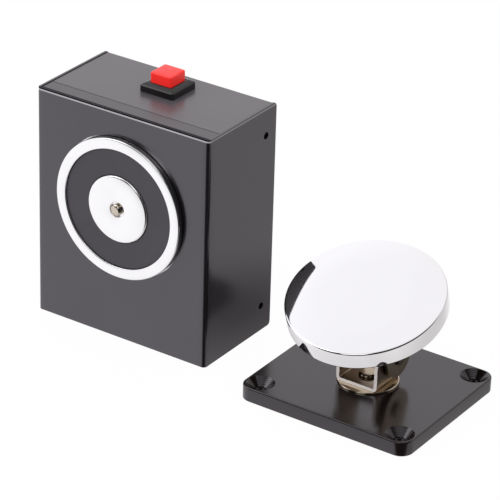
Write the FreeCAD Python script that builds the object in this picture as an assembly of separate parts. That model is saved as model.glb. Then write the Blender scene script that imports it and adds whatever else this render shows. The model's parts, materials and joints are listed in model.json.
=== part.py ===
import FreeCAD, Part
import math
import os

# An electromagnetic door holder in two units that stand side by side: the wall unit, a folded
# sheet case with a pot magnet and a release button, and the door unit, a bright armature disc
# on a swivelling hinge above a black plate. Millimetres, +Z up. The magnet looks towards -Y.
# The row's origin is on the floor, under the middle of both units together.

V = FreeCAD.Vector

# Wall unit: case
CASE_W = 92.0            # across the front
CASE_H = 110.0
CASE_D = 51.0            # front to wall
SHEET = 1.2              # case sheet
CASE_BEND = 2.5          # outside radius of the cover's folded front corners
EAR_R = 2.0              # rounded back corners of the cover's sides
LIP = 0.4                # raw edge of the cover above the top panel and below the bottom one
SIDE_GAP = 0.3           # cover's side to chassis
STRIP_D = 9.2            # depth at which the frame's flange ends and the seam lies
SEAM = 0.4
FOLD_R = 1.8             # outside radius of the frame's and chassis's folds
TAB_D = 13.0             # side tabs, front to wall
TAB_H = 18.0
SIDE_HOLE_R = 1.65
SIDE_HOLE_RIM = 0.4      # broken edge round each side hole
SIDE_HOLE_BACK = 7.7     # from the wall face
SIDE_HOLE_TOP = 13.5     # from the top
SIDE_HOLE_FOOT = 12.5    # from the bottom
TAP_R = 1.25             # tapped hole for a 3 mm screw

# Wall unit: fixing and cable
WALL_HOLE_SIDE = 14.0    # wall screws, in from the case's sides
WALL_HOLE_END = 13.0     # and from its top and foot
WALL_HOLE_R = 2.25
CABLE_Z = 13.0
BUSH_R = 6.0             # cable bush, outside
BUSH_BORE = 4.0
BUSH_FLANGE_R = 8.0
BUSH_FLANGE_T = 1.6
BUSH_NECK = 2.0          # behind the flange's sheet, inside the case

# Magnet
MAG_DROP = 45.0          # its axis, below the case's top
RING_R = 33.2            # pot, outside
RING_WALL = 5.0
RING_PROUD = 3.0         # pot's rim in front of the cover
RING_GAP = 0.4           # round the pot in the cover and the frame
POT_L = 23.0
POT_FLOOR = 5.0
FLANGE_W = 6.8           # pot's fixing flange, beyond the pot
FLANGE_T = 2.5
EDGE = 0.5               # broken edges of turned steel
POLE_R = 15.8
POLE_EDGE = 0.9
SPIGOT_R = 8.0
NUT_AF = 24.0
NUT_H = 5.0
SPIGOT_END = 0.5         # beyond the nut
RESIN_SUNK = 0.8         # resin face behind the pot's rim
RESIN_T = 2.2
BOBBIN_T = 1.0
WINDING_GAP = 1.2        # winding to the pot's wall
FIT = 0.03               # radial clearance of pieces fixed to each other
RUN = 0.05               # clearance of pieces that turn or slide on each other

# Push-off pin in the pole
PIN_R = 2.6
PIN_PROUD = 1.4          # tip in front of the pole's face, and its travel
PIN_DOME = 1.0           # height of the rounded tip
RECESS_R = 3.6           # sunk round seat round the pin
RECESS_D = 1.2
PIN_GUIDE = 8.0          # length of the guide bore from the pole's face
CHAMBER_R = 4.2          # spring chamber behind the guide
COLLAR_T = 2.0
COLLAR_GAP = 0.3         # collar to the chamber's wall
TAIL_R = 1.6
TAIL_L = 6.0
PLUG_L = 3.0
PLUG_SLOT = 1.0
PIN_SPRING_R = 2.75      # mean radius
PIN_SPRING_WIRE = 0.3    # wire's radius
PIN_SPRING_TURNS = 7

# Fasteners
M3_R = 1.5
M3_HEAD_R = 2.6
M3_HEAD_H = 1.8
RECESS_W = 0.8           # cross recess
M25_R = 1.25
M25_HEAD_R = 2.3
M25_HEAD_H = 1.5

# Release button
BUTTON_X = 0.4
BUTTON_Y = 33.2
BEZEL_W = 17.9
BEZEL_L = 17.6
BEZEL_SIDE = 2.7         # height of the bezel's upright side
BEZEL_BEVEL = 0.5
BEZEL_RISE = 1.0         # sloping top, up to the cap
BEZEL_RIM = 0.6          # flat rim round the cap
BEZEL_CORNER = 1.0
CAP_W = 11.3
CAP_GAP = 0.2
CAP_PROUD = 4.7          # cap above the bezel's rim
CAP_L = 14.8
CAP_EDGE = 0.7
BARREL_WALL = 0.9
BARREL_L = 18.6          # below the panel's top face
BARREL_GAP = 0.2         # barrel in the panel's square hole
SNAP_T = 0.8
SNAP_L = 6.0
SNAP_H = 4.0
PRESS = 2.5              # button travel
SWITCH_BASE_T = 3.0
SPRING_SEAT = 5.4        # button spring's length at rest
BRIDGE_T = 0.8
BRIDGE_W = 3.0
BRIDGE_X = 4.2
BLADE_T = 0.8
BLADE_X = 5.4            # outer face of a terminal blade
BLADE_LIP = 3.2
BLADE_TAIL = 5.0
STEM_R = 1.6
CAP_SPRING_R = 1.9
CAP_SPRING_WIRE = 0.25
CAP_SPRING_TURNS = 4

# Circuit board
BOARD_W = 60.0
BOARD_H = 62.0
BOARD_T = 1.6
BOARD_DROP = 2.0         # its middle, below the case's
PILLAR_L = 4.4
PILLAR_R = 2.6
PILLAR_SPIGOT_R = 1.8
PILLAR_INSET = 4.0
TERMINAL_W = 15.2
TERMINAL_H = 8.0
TERMINAL_D = 10.0
TERMINAL_PITCH = 5.08
TERMINAL_EDGE = 3.0      # above the board's lower edge
TERMINAL_SCREW_R = 1.7
WIRE_MOUTH = 3.2
JUMPER_SIDE = 12.0       # from the board's side
JUMPER_FOOT = 8.0        # and from its lower edge
HEADER_T = 2.5
HEADER_L = 7.6
HEADER_PITCH = 2.54
HEADER_PIN = 0.64
HEADER_PIN_L = 6.0
LINK_H = 5.0
DIODE_X = 6.0
DIODE_FOOT = 16.5        # from the board's lower edge
DIODE_R = 1.35
DIODE_L = 5.2
DIODE_LEAD_R = 0.4
DIODE_SPAN = 10.0
LEAD_R = 0.6             # insulated hook-up wire
LEAD_BEND = 4.0          # radius of its bends
LEAD_PITCH = 6.0         # between the coil's two leads
COIL_LEAD_DROP = 22.0    # where they leave the pot, below its axis
COIL_LEAD_SIDE = 14.0    # where they meet the board, from its side
SWITCH_LEAD_DROP = 13.0  # below the switch's blades

# Door unit: plate
UNIT_GAP = 26.0          # clear space between the two units
FRONT_OFFSET = 25.0      # wall unit's front, ahead of the middle of the door plate
PLATE_X = 85.0
PLATE_Y = 75.0
PLATE_T = 7.0
PLATE_CORNER = 6.0
PLATE_EDGE = 0.8
DOOR_SPACING_X = 70.5
DOOR_SPACING_Y = 61.0
DOOR_HOLE_R = 2.75
SINK_R = 6.4             # countersink at the top face

# Door unit: swivel
SWIVEL_WASHER_R = 13.6
SWIVEL_WASHER_T = 0.8
BRACKET_T = 1.5
BRACKET_BEND = 2.2
LOWER_W = 20.6
LOWER_L = 19.0
LEG_ABOVE = 6.4          # leg above the hinge pin
LEG_FRONT_R = 8.0
LEG_BACK_R = 4.2
RIVET_R = 3.0
RIVET_HEAD_R = 4.1
RIVET_HEAD_H = 1.5
RIVET_FOOT_R = 5.5
RIVET_FOOT_H = 2.2
RIVET_RECESS_R = 6.5
RIVET_RECESS_D = 2.6

# Door unit: hinge and armature
HINGE_Y = 4.8            # hinge pin, behind the swivel's axis
HINGE_Z = 20.0
HINGE_R = 2.0
HINGE_HEAD_R = 3.6
HINGE_HEAD_T = 1.4
HINGE_WASHER_R = 4.6
HINGE_WASHER_T = 0.5
EAR_ROUND = 9.5
REACH = 23.3             # hinge pin to the disc's back
DISC_R = 35.0
DISC_T = 9.0
DISC_EDGE = 0.7
TILT = 18.6              # disc at rest, towards the front
DISC_SCREW_R = 2.5
DISC_SCREW_DEPTH = 5.4
DISC_SCREW_AF = 8.0
DISC_SCREW_HEAD = 3.2
LOCK_WASHER_T = 1.2
LOCK_WASHER_R = 4.5
SPARE = 0.6              # blind holes beyond their screws, and screws short of what they'd touch

# Worked out from the sizes above
RING_IN = RING_R - RING_WALL
FLANGE_R = RING_R + FLANGE_W
CHASSIS_HALF = CASE_W / 2 - SHEET - SIDE_GAP
PANEL_TOP = CASE_H - LIP
PANEL_FOOT = LIP
BACK_IN = CASE_D - SHEET
WALL_Z = CASE_H / 2
WALL_SPACING_X = CASE_W - 2 * WALL_HOLE_SIDE
WALL_SPACING_Z = CASE_H - 2 * WALL_HOLE_END
MAG_Z = CASE_H - MAG_DROP
WEB_BACK = 2 * SHEET
RIM_Y = -RING_PROUD
POT_BACK = RIM_Y + POT_L
FLOOR_Y = POT_BACK - POT_FLOOR
RESIN_Y = RIM_Y + RESIN_SUNK
BOBBIN_Y = RESIN_Y + RESIN_T
SPIGOT_Y = POT_BACK + NUT_H + SPIGOT_END
GUIDE_Y = RIM_Y + PIN_GUIDE
COLLAR_Y = GUIDE_Y + RUN
SPRING_Y = COLLAR_Y + COLLAR_T
PLUG_Y = SPIGOT_Y - PLUG_L
MAGNET_SCREW_PCD = RING_R + FLANGE_R
CAVITY = CAP_W + 2 * CAP_GAP
BARREL_W = CAVITY + 2 * BARREL_WALL
BEZEL_TOP = PANEL_TOP + BEZEL_SIDE + BEZEL_BEVEL + BEZEL_RISE
CAP_TOP = BEZEL_TOP + CAP_PROUD
CAP_FOOT = CAP_TOP - CAP_L
BARREL_FOOT = PANEL_TOP - BARREL_L
BRIDGE_FOOT = BARREL_FOOT + SPRING_SEAT
BRIDGE_TOP = BRIDGE_FOOT + BRIDGE_T
BOARD_BACK = BACK_IN - PILLAR_L
BOARD_FRONT = BOARD_BACK - BOARD_T
BOARD_Z = CASE_H / 2 - BOARD_DROP
BOARD_FOOT = BOARD_Z - BOARD_H / 2
JUMPER_X = BOARD_W / 2 - JUMPER_SIDE
JUMPER_Z = BOARD_FOOT + JUMPER_FOOT
DIODE_Z = BOARD_FOOT + DIODE_FOOT
COIL_LEAD_X = COIL_LEAD_SIDE - BOARD_W / 2
BLADE_FOOT = BARREL_FOOT - SWITCH_BASE_T - BLADE_TAIL
SWITCH_LEAD_Z = BLADE_FOOT - SWITCH_LEAD_DROP
WEB_FOOT = PLATE_T + SWIVEL_WASHER_T + RUN
WEB_TOP = WEB_FOOT + BRACKET_T
LEG_TOP = HINGE_Z + LEG_ABOVE
EAR_IN = LOWER_W / 2 + HINGE_WASHER_T + RUN
EAR_OUT = EAR_IN + BRACKET_T
SCREW_FACE = REACH - BRACKET_T - LOCK_WASHER_T
TILT_RAD = math.radians(TILT)

# Where the two units stand in the row
DISC_FRONT = HINGE_Y - (REACH + DISC_T) * math.sin(TILT_RAD) - DISC_R * math.cos(TILT_RAD)
ROW_FRONT = min(-PLATE_Y / 2, DISC_FRONT, -FRONT_OFFSET - RING_PROUD - PIN_PROUD)
ROW_BACK = max(PLATE_Y / 2, CASE_D - FRONT_OFFSET)
ROW_LEN = CASE_W + UNIT_GAP + PLATE_X
DOOR_AT = V(ROW_LEN / 2 - PLATE_X / 2, -(ROW_FRONT + ROW_BACK) / 2, 0)
WALL_AT = V(-ROW_LEN / 2 + CASE_W / 2, DOOR_AT.y - FRONT_OFFSET, 0)


def block(x0, x1, y0, y1, z0, z1):
    """A box between two corners."""
    return Part.makeBox(x1 - x0, y1 - y0, z1 - z0, V(x0, y0, z0))


def rod(radius, start, direction, length):
    """A cylinder from a point, along a direction."""
    return Part.makeCylinder(radius, length, start, direction)


def edges_where(shape, axis, **at):
    """Straight edges along one axis whose ends lie at the given coordinates."""
    found = []
    for edge in shape.Edges:
        if len(edge.Vertexes) != 2:
            continue
        a, b = edge.Vertexes[0].Point, edge.Vertexes[1].Point
        span = b - a
        across = [abs(getattr(span, k)) for k in "xyz" if k != axis]
        if max(across) > 1e-6 or abs(getattr(span, axis)) < 1e-6:
            continue
        if all(min(abs(getattr(a, k) - v) for v in values) < 1e-6 for k, values in at.items()):
            found.append(edge)
    return found


def rounded(shape, radius, axis, **at):
    """The shape with the named straight edges rounded."""
    return shape.makeFillet(radius, edges_where(shape, axis, **at))


def turned(points, centre, direction):
    """A turned piece: (radius, distance) points spun about the axis through centre."""
    out = V(0, 0, 1) if abs(direction.z) < 0.5 else V(1, 0, 0)
    path = [centre + out * r + direction * d for r, d in points]
    face = Part.Face(Part.makePolygon(path + [path[0]]))
    return face.revolve(centre, direction, 360)


def on_magnet(points):
    """A turned piece on the magnet's axis, distances measured back from the cover's face."""
    return turned(points, V(0, 0, MAG_Z), V(0, 1, 0))


def ring(outer, inner, start, end):
    """Four points of a plain turned ring or tube."""
    return [(inner, start), (outer, start), (outer, end), (inner, end)]


def spring(radius, wire, turns, start, direction, length):
    """A six-sided wire coil whose two ends lie within the given length."""
    height = length - 2 * wire - 2 * FIT
    helix = Part.makeHelix(height / turns, height, radius)
    corners = [math.radians(60 * k) for k in range(7)]
    section = Part.makePolygon([V(radius + wire * math.cos(a), 0, wire * math.sin(a)) for a in corners])
    coil = Part.Wire(helix.Edges).makePipeShell([section], True, True)
    coil.translate(V(0, 0, wire + FIT))
    coil.Placement = FreeCAD.Placement(start, FreeCAD.Rotation(V(0, 0, 1), direction)) * coil.Placement
    return coil


def pan_screw(shank, length, head_r, head_h, start, direction):
    """A pan-head screw with a cross recess; start is under the head, the shank runs along direction."""
    body = rod(shank, V(0, 0, 0), V(0, 0, 1), length)
    head = rod(head_r, V(0, 0, -head_h), V(0, 0, 1), head_h)
    head = head.makeChamfer(head_h * 0.35, [e for e in head.Edges if abs(e.BoundBox.ZMax + head_h) < 1e-6])
    arm = head_r * 0.6
    depth = head_h * 0.5
    for turn in (0, 90):
        slot = block(-arm, arm, -RECESS_W / 2, RECESS_W / 2, -head_h, -head_h + depth)
        slot.rotate(V(0, 0, 0), V(0, 0, 1), turn)
        head = head.cut(slot)
    screw = body.fuse(head).removeSplitter()
    screw.Placement = FreeCAD.Placement(start, FreeCAD.Rotation(V(0, 0, 1), direction))
    return screw


def hexagon(across_flats, start, direction, length):
    """A hexagonal bar from a point, along a direction."""
    radius = across_flats / math.sqrt(3)
    corners = [V(radius * math.cos(k * math.pi / 3), radius * math.sin(k * math.pi / 3), 0) for k in range(7)]
    bar = Part.Face(Part.makePolygon(corners)).extrude(V(0, 0, length))
    bar.Placement = FreeCAD.Placement(start, FreeCAD.Rotation(V(0, 0, 1), direction))
    return bar


def side_holes():
    """Height and depth of the cover's side holes."""
    depth = CASE_D - SIDE_HOLE_BACK
    return [(depth, SIDE_HOLE_FOOT), (depth, CASE_H - SIDE_HOLE_TOP)]


def wall_holes():
    """Places of the wall fixing holes."""
    return [(x, WALL_Z + z) for x in (-WALL_SPACING_X / 2, WALL_SPACING_X / 2)
            for z in (-WALL_SPACING_Z / 2, WALL_SPACING_Z / 2)]


def pillar_spots():
    """Places of the board's pillars."""
    x = BOARD_W / 2 - PILLAR_INSET
    z = BOARD_H / 2 - PILLAR_INSET
    return [(sx * x, BOARD_Z + sz * z) for sx in (-1, 1) for sz in (-1, 1)]


def magnet_screw_spots():
    """Places of the screws in the pot's flange."""
    radius = MAGNET_SCREW_PCD / 2
    turns = [math.radians(45 + 90 * k) for k in range(4)]
    return [(radius * math.cos(a), MAG_Z + radius * math.sin(a)) for a in turns]


def front_cover():
    """Front and both sides folded from one sheet, open at the top, foot and back."""
    half = CASE_W / 2
    outer = block(-half, half, 0, CASE_D, 0, CASE_H)
    outer = rounded(outer, CASE_BEND, "z", y=[0])
    outer = rounded(outer, EAR_R, "x", y=[CASE_D], z=[0, CASE_H])
    inner = block(-half + SHEET, half - SHEET, SHEET, CASE_D + 1, -1, CASE_H + 1)
    inner = rounded(inner, CASE_BEND - SHEET, "z", y=[SHEET])
    cover = outer.cut(inner)
    cover = cover.cut(rod(RING_R + RING_GAP, V(0, -1, MAG_Z), V(0, 1, 0), SHEET + 2))
    for depth, height in side_holes():
        cover = cover.cut(rod(SIDE_HOLE_R, V(-half - 1, depth, height), V(1, 0, 0), CASE_W + 2))
        for side in (-1, 1):
            rim = Part.makeCone(SIDE_HOLE_R + SIDE_HOLE_RIM, SIDE_HOLE_R, SIDE_HOLE_RIM,
                                V(side * half, depth, height), V(-side, 0, 0))
            cover = cover.cut(rim)
    return cover


def folded_channel(front, back, open_front):
    """Top, foot and one upright wall of folded sheet; the wall is at the back if open_front."""
    wall = [back] if open_front else [front]
    outer = block(-CHASSIS_HALF, CHASSIS_HALF, front, back, PANEL_FOOT, PANEL_TOP)
    outer = rounded(outer, FOLD_R, "x", y=wall, z=[PANEL_FOOT, PANEL_TOP])
    y0 = front - 1 if open_front else front + SHEET
    y1 = back - SHEET if open_front else back + 1
    inner = block(-CASE_W, CASE_W, y0, y1, PANEL_FOOT + SHEET, PANEL_TOP - SHEET)
    inner = rounded(inner, FOLD_R - SHEET, "x", y=[y1 if open_front else y0],
                    z=[PANEL_FOOT + SHEET, PANEL_TOP - SHEET])
    return outer.cut(inner)


def upright_skin(front, back, corner, wall):
    """A tall block with the upright corners of one face rounded, to trim a folded piece."""
    skin = block(-CHASSIS_HALF, CHASSIS_HALF, front, back, -1, CASE_H + 1)
    return rounded(skin, corner, "z", y=[wall])


def back_chassis():
    """Back, top and foot folded from one sheet, with the wall holes and the switch's window."""
    front = STRIP_D + SEAM
    chassis = folded_channel(front, CASE_D, True)
    chassis = chassis.common(upright_skin(front, CASE_D, FOLD_R, CASE_D))
    for x, z in wall_holes():
        chassis = chassis.cut(rod(WALL_HOLE_R, V(x, BACK_IN - 1, z), V(0, 1, 0), SHEET + 2))
    for x, z in pillar_spots():
        chassis = chassis.cut(rod(PILLAR_SPIGOT_R + FIT, V(x, BACK_IN - 1, z), V(0, 1, 0), SHEET + 2))
    chassis = chassis.cut(rod(BUSH_R + FIT, V(0, BACK_IN - 1, CABLE_Z), V(0, 1, 0), SHEET + 2))
    hole = BARREL_W / 2 + BARREL_GAP
    window = block(BUTTON_X - hole, BUTTON_X + hole, BUTTON_Y - hole, BUTTON_Y + hole,
                   PANEL_TOP - SHEET - 1, PANEL_TOP + 1)
    return chassis.cut(window).removeSplitter()


def side_tabs():
    """Four tapped tabs welded on edge to the back panel, behind the cover's side holes."""
    tabs = []
    skin = upright_skin(CASE_D - TAB_D, CASE_D, FOLD_R, CASE_D)
    for side in (-1, 1):
        x0, x1 = sorted((side * CHASSIS_HALF, side * (CHASSIS_HALF - SHEET)))
        for depth, height in side_holes():
            z0 = max(height - TAB_H / 2, PANEL_FOOT + FOLD_R + SHEET)
            z1 = min(height + TAB_H / 2, PANEL_TOP - FOLD_R - SHEET)
            tab = block(x0, x1, CASE_D - TAB_D, BACK_IN, z0, z1).common(skin)
            tabs.append(tab.cut(rod(TAP_R, V(-CASE_W, depth, height), V(1, 0, 0), 2 * CASE_W)))
    return tabs


def coil_lead_spots():
    """Places where the coil's leads leave the pot's floor, and where they meet the board."""
    return [(side * LEAD_PITCH / 2, COIL_LEAD_X + side * LEAD_PITCH / 2, MAG_Z - COIL_LEAD_DROP)
            for side in (-1, 1)]


def magnet_frame():
    """The frame welded behind the cover's face: an upright web and two short flanges."""
    frame = folded_channel(SHEET, STRIP_D, False)
    frame = frame.common(upright_skin(SHEET, STRIP_D, CASE_BEND - SHEET + SIDE_GAP, SHEET))
    frame = frame.cut(rod(RING_R + RING_GAP, V(0, 0, MAG_Z), V(0, 1, 0), STRIP_D))
    for x, z in magnet_screw_spots():
        frame = frame.cut(rod(M3_R + FIT, V(x, 0, z), V(0, 1, 0), STRIP_D))
    return frame


def magnet_pot():
    """The turned steel pot: rim, wall, floor and fixing flange."""
    hole = SPIGOT_R + FIT
    flange = WEB_BACK + FLANGE_T
    pot = on_magnet([(RING_IN + EDGE, RIM_Y), (RING_R - EDGE, RIM_Y), (RING_R, RIM_Y + EDGE),
                     (RING_R, WEB_BACK), (FLANGE_R, WEB_BACK), (FLANGE_R, flange), (RING_R, flange),
                     (RING_R, POT_BACK - EDGE), (RING_R - EDGE, POT_BACK), (hole, POT_BACK),
                     (hole, FLOOR_Y), (RING_IN, FLOOR_Y), (RING_IN, RIM_Y + EDGE)])
    for x, z in magnet_screw_spots():
        pot = pot.cut(rod(M3_R + FIT, V(x, 0, z), V(0, 1, 0), POT_BACK))
    for x, _, z in coil_lead_spots():
        pot = pot.cut(rod(LEAD_R + FIT, V(x, FLOOR_Y - 1, z), V(0, 1, 0), POT_FLOOR + 2))
    return pot


def centre_pole():
    """The turned pole, with the push-off pin's seat and guide, and a spigot through the pot's floor."""
    bore = PIN_R + RUN
    return on_magnet([(RECESS_R, RIM_Y), (POLE_R - POLE_EDGE, RIM_Y), (POLE_R, RIM_Y + POLE_EDGE),
                      (POLE_R, FLOOR_Y), (SPIGOT_R, FLOOR_Y), (SPIGOT_R, SPIGOT_Y - EDGE),
                      (SPIGOT_R - EDGE, SPIGOT_Y), (CHAMBER_R, SPIGOT_Y), (CHAMBER_R, GUIDE_Y),
                      (bore, GUIDE_Y), (bore, RIM_Y + RECESS_D), (RECESS_R, RIM_Y + RECESS_D)])


def pole_nut():
    """The thin nut that holds the pole in the pot."""
    nut = hexagon(NUT_AF, V(0, POT_BACK, MAG_Z), V(0, 1, 0), NUT_H)
    corners = on_magnet([(0, POT_BACK), (NUT_AF / 2, POT_BACK), (NUT_AF * 0.577, POT_BACK + NUT_H * 0.2),
                         (NUT_AF * 0.577, POT_BACK + NUT_H * 0.8), (NUT_AF / 2, POT_BACK + NUT_H),
                         (0, POT_BACK + NUT_H)])
    return nut.common(corners).cut(rod(SPIGOT_R + FIT, V(0, 0, MAG_Z), V(0, 1, 0), CASE_D))


def coil_bobbin():
    """The moulded spool between pole and pot."""
    inner = POLE_R + FIT
    rim = RING_IN - FIT
    back = FLOOR_Y - FIT
    spool = on_magnet([(inner, BOBBIN_Y), (rim, BOBBIN_Y), (rim, BOBBIN_Y + BOBBIN_T),
                       (inner + BOBBIN_T, BOBBIN_Y + BOBBIN_T), (inner + BOBBIN_T, back - BOBBIN_T),
                       (rim, back - BOBBIN_T), (rim, back), (inner, back)])
    for x, _, z in coil_lead_spots():
        spool = spool.cut(rod(LEAD_R + FIT, V(x, back - BOBBIN_T - FIT, z), V(0, 1, 0), BOBBIN_T + 1))
    return spool


def coil_winding():
    """The copper winding on the spool."""
    start = BOBBIN_Y + BOBBIN_T + FIT
    end = FLOOR_Y - 2 * FIT - BOBBIN_T
    return on_magnet(ring(RING_IN - WINDING_GAP, POLE_R + BOBBIN_T + 2 * FIT, start, end))


def resin_face():
    """The black resin that closes the gap between pole and rim."""
    return on_magnet(ring(RING_IN - FIT, POLE_R + FIT, RESIN_Y, BOBBIN_Y))


def pushoff_pin():
    """The sprung pin that pushes the armature off; its tip is rounded and a collar holds it in."""
    tip = RIM_Y - PIN_PROUD
    collar = CHAMBER_R - COLLAR_GAP
    steps = 6
    dome = []
    for k in range(steps + 1):
        a = math.pi / 2 * k / steps
        dome.append((PIN_R * math.sin(a), tip + PIN_DOME * (1 - math.cos(a))))
    return on_magnet(dome + [(PIN_R, COLLAR_Y), (collar, COLLAR_Y), (collar, SPRING_Y), (TAIL_R, SPRING_Y),
                             (TAIL_R, SPRING_Y + TAIL_L), (0, SPRING_Y + TAIL_L)])


def pushoff_spring():
    """The coil spring behind the pin."""
    return spring(PIN_SPRING_R, PIN_SPRING_WIRE, PIN_SPRING_TURNS, V(0, SPRING_Y, MAG_Z), V(0, 1, 0),
                  PLUG_Y - SPRING_Y)


def spring_plug():
    """The slotted plug that closes the spring chamber."""
    radius = CHAMBER_R - FIT
    half = PLUG_SLOT / 2
    plug = on_magnet([(0, PLUG_Y), (radius, PLUG_Y), (radius, SPIGOT_Y), (0, SPIGOT_Y)])
    return plug.cut(block(-CHAMBER_R, CHAMBER_R, SPIGOT_Y - PLUG_SLOT, SPIGOT_Y, MAG_Z - half, MAG_Z + half))


def magnet_screws():
    """Screws through the pot's flange into the frame."""
    face = WEB_BACK + FLANGE_T
    length = face - SHEET - RUN
    return [pan_screw(M3_R, length, M3_HEAD_R, M3_HEAD_H, V(x, face, z), V(0, -1, 0))
            for x, z in magnet_screw_spots()]


def square(half_x, half_y, z):
    """A level rectangle about the button's axis."""
    x0, x1 = BUTTON_X - half_x, BUTTON_X + half_x
    y0, y1 = BUTTON_Y - half_y, BUTTON_Y + half_y
    return Part.makePolygon([V(x0, y0, z), V(x1, y0, z), V(x1, y1, z), V(x0, y1, z), V(x0, y0, z)])


def column(half, z0, z1):
    """An upright square block on the button's axis."""
    return block(BUTTON_X - half, BUTTON_X + half, BUTTON_Y - half, BUTTON_Y + half, z0, z1)


def button_bezel():
    """The switch's housing: a sloping bezel on the panel and a square barrel with snaps below it."""
    w, l = BEZEL_W / 2, BEZEL_L / 2
    side = PANEL_TOP + BEZEL_SIDE
    bevel = side + BEZEL_BEVEL
    rim = CAVITY / 2 + BEZEL_RIM
    outline = block(BUTTON_X - w, BUTTON_X + w, BUTTON_Y - l, BUTTON_Y + l, PANEL_TOP, BEZEL_TOP)
    outline = outline.makeFillet(BEZEL_CORNER, edges_where(outline, "z"))
    foot = block(BUTTON_X - w, BUTTON_X + w, BUTTON_Y - l, BUTTON_Y + l, PANEL_TOP, side)
    brow = square(w - BEZEL_BEVEL, l - BEZEL_BEVEL, bevel)
    edge = Part.makeLoft([square(w, l, side), brow], True)
    slope = Part.makeLoft([brow, square(rim, rim, BEZEL_TOP)], True)
    bezel = foot.fuse([edge, slope]).common(outline)
    barrel = column(BARREL_W / 2, BARREL_FOOT, PANEL_TOP)
    bezel = bezel.fuse(barrel)
    snap_top = PANEL_TOP - SHEET - FIT
    y0 = BUTTON_Y - SNAP_L / 2
    for side_x in (-1, 1):
        near = BUTTON_X + side_x * BARREL_W / 2
        far = near + side_x * SNAP_T
        wedge = Part.makePolygon([V(near, y0, snap_top), V(far, y0, snap_top),
                                  V(near, y0, snap_top - SNAP_H), V(near, y0, snap_top)])
        bezel = bezel.fuse(Part.Face(wedge).extrude(V(0, SNAP_L, 0)))
    return bezel.cut(column(CAVITY / 2, BARREL_FOOT - 1, BEZEL_TOP + 1)).removeSplitter()


def button_cap():
    """The square cap with its stem, which rests on the contact bridge."""
    cap = column(CAP_W / 2, CAP_FOOT, CAP_TOP)
    cap = cap.makeFillet(CAP_EDGE, edges_where(cap, "z") + edges_where(cap, "x", z=[CAP_TOP])
                         + edges_where(cap, "y", z=[CAP_TOP]))
    return cap.fuse(rod(STEM_R, V(BUTTON_X, BUTTON_Y, BRIDGE_TOP), V(0, 0, 1), CAP_FOOT - BRIDGE_TOP))


def contact_bridge():
    """The brass bar that joins the two terminals until the button is pressed."""
    half = BRIDGE_W / 2
    return block(BUTTON_X - BRIDGE_X, BUTTON_X + BRIDGE_X, BUTTON_Y - half, BUTTON_Y + half,
                 BRIDGE_FOOT, BRIDGE_TOP)


def button_spring():
    """The spring under the bridge."""
    return spring(CAP_SPRING_R, CAP_SPRING_WIRE, CAP_SPRING_TURNS, V(BUTTON_X, BUTTON_Y, BARREL_FOOT),
                  V(0, 0, 1), SPRING_SEAT)


def terminal_blades():
    """The two bent blades: a lip over the bridge, and a tail below the switch."""
    blades = []
    half = BRIDGE_W / 2
    top = BRIDGE_TOP + BLADE_T
    for side in (-1, 1):
        x_out = BUTTON_X + side * BLADE_X
        x_in = x_out - side * BLADE_T
        x_lip = x_out - side * BLADE_LIP
        y0, y1 = BUTTON_Y - half, BUTTON_Y + half
        blade = block(min(x_in, x_out), max(x_in, x_out), y0, y1, BLADE_FOOT, top)
        lip = block(min(x_lip, x_out), max(x_lip, x_out), y0, y1, BRIDGE_TOP, top)
        blades.append(blade.fuse(lip).removeSplitter())
    return blades


def switch_base():
    """The plate that closes the barrel and carries the blades."""
    base = column(BARREL_W / 2, BARREL_FOOT - SWITCH_BASE_T, BARREL_FOOT)
    half = BRIDGE_W / 2 + FIT
    for side in (-1, 1):
        x_out = BUTTON_X + side * (BLADE_X + FIT)
        x_in = BUTTON_X + side * (BLADE_X - BLADE_T - FIT)
        base = base.cut(block(min(x_in, x_out), max(x_in, x_out), BUTTON_Y - half, BUTTON_Y + half,
                              BARREL_FOOT - SWITCH_BASE_T - 1, BARREL_FOOT + 1))
    return base


def cable_bush():
    """The moulded bush in the cable hole, flush with the wall face, with its flange inside."""
    centre = V(0, 0, CABLE_Z)
    inside = BACK_IN - BUSH_FLANGE_T
    return turned([(BUSH_BORE, inside - BUSH_NECK), (BUSH_R, inside - BUSH_NECK), (BUSH_R, inside),
                   (BUSH_FLANGE_R, inside), (BUSH_FLANGE_R, BACK_IN), (BUSH_R, BACK_IN), (BUSH_R, CASE_D),
                   (BUSH_BORE, CASE_D)], centre, V(0, 1, 0))


def circuit_board():
    """The board on its pillars."""
    board = block(-BOARD_W / 2, BOARD_W / 2, BOARD_FRONT, BOARD_BACK, BOARD_FOOT, BOARD_FOOT + BOARD_H)
    for x, z in pillar_spots():
        board = board.cut(rod(M25_R + FIT, V(x, BOARD_FRONT - 1, z), V(0, 1, 0), BOARD_T + 2))
    return board


def board_pillars():
    """Pillars clinched into the back, with threaded bores."""
    pillars = []
    for x, z in pillar_spots():
        pillar = turned([(0, BACK_IN), (0, CASE_D), (PILLAR_SPIGOT_R, CASE_D), (PILLAR_SPIGOT_R, BACK_IN),
                         (PILLAR_R, BACK_IN), (PILLAR_R, BOARD_BACK), (M25_R + FIT, BOARD_BACK),
                         (M25_R + FIT, BACK_IN)], V(x, 0, z), V(0, 1, 0))
        pillars.append(pillar)
    return pillars


def board_screws():
    """Screws through the board into the pillars."""
    length = BOARD_T + PILLAR_L - SPARE
    return [pan_screw(M25_R, length, M25_HEAD_R, M25_HEAD_H, V(x, BOARD_FRONT, z), V(0, 1, 0))
            for x, z in pillar_spots()]


def terminal_ways():
    """Where the three ways of the terminal block lie."""
    return [k * TERMINAL_PITCH for k in (-1, 0, 1)]


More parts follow.
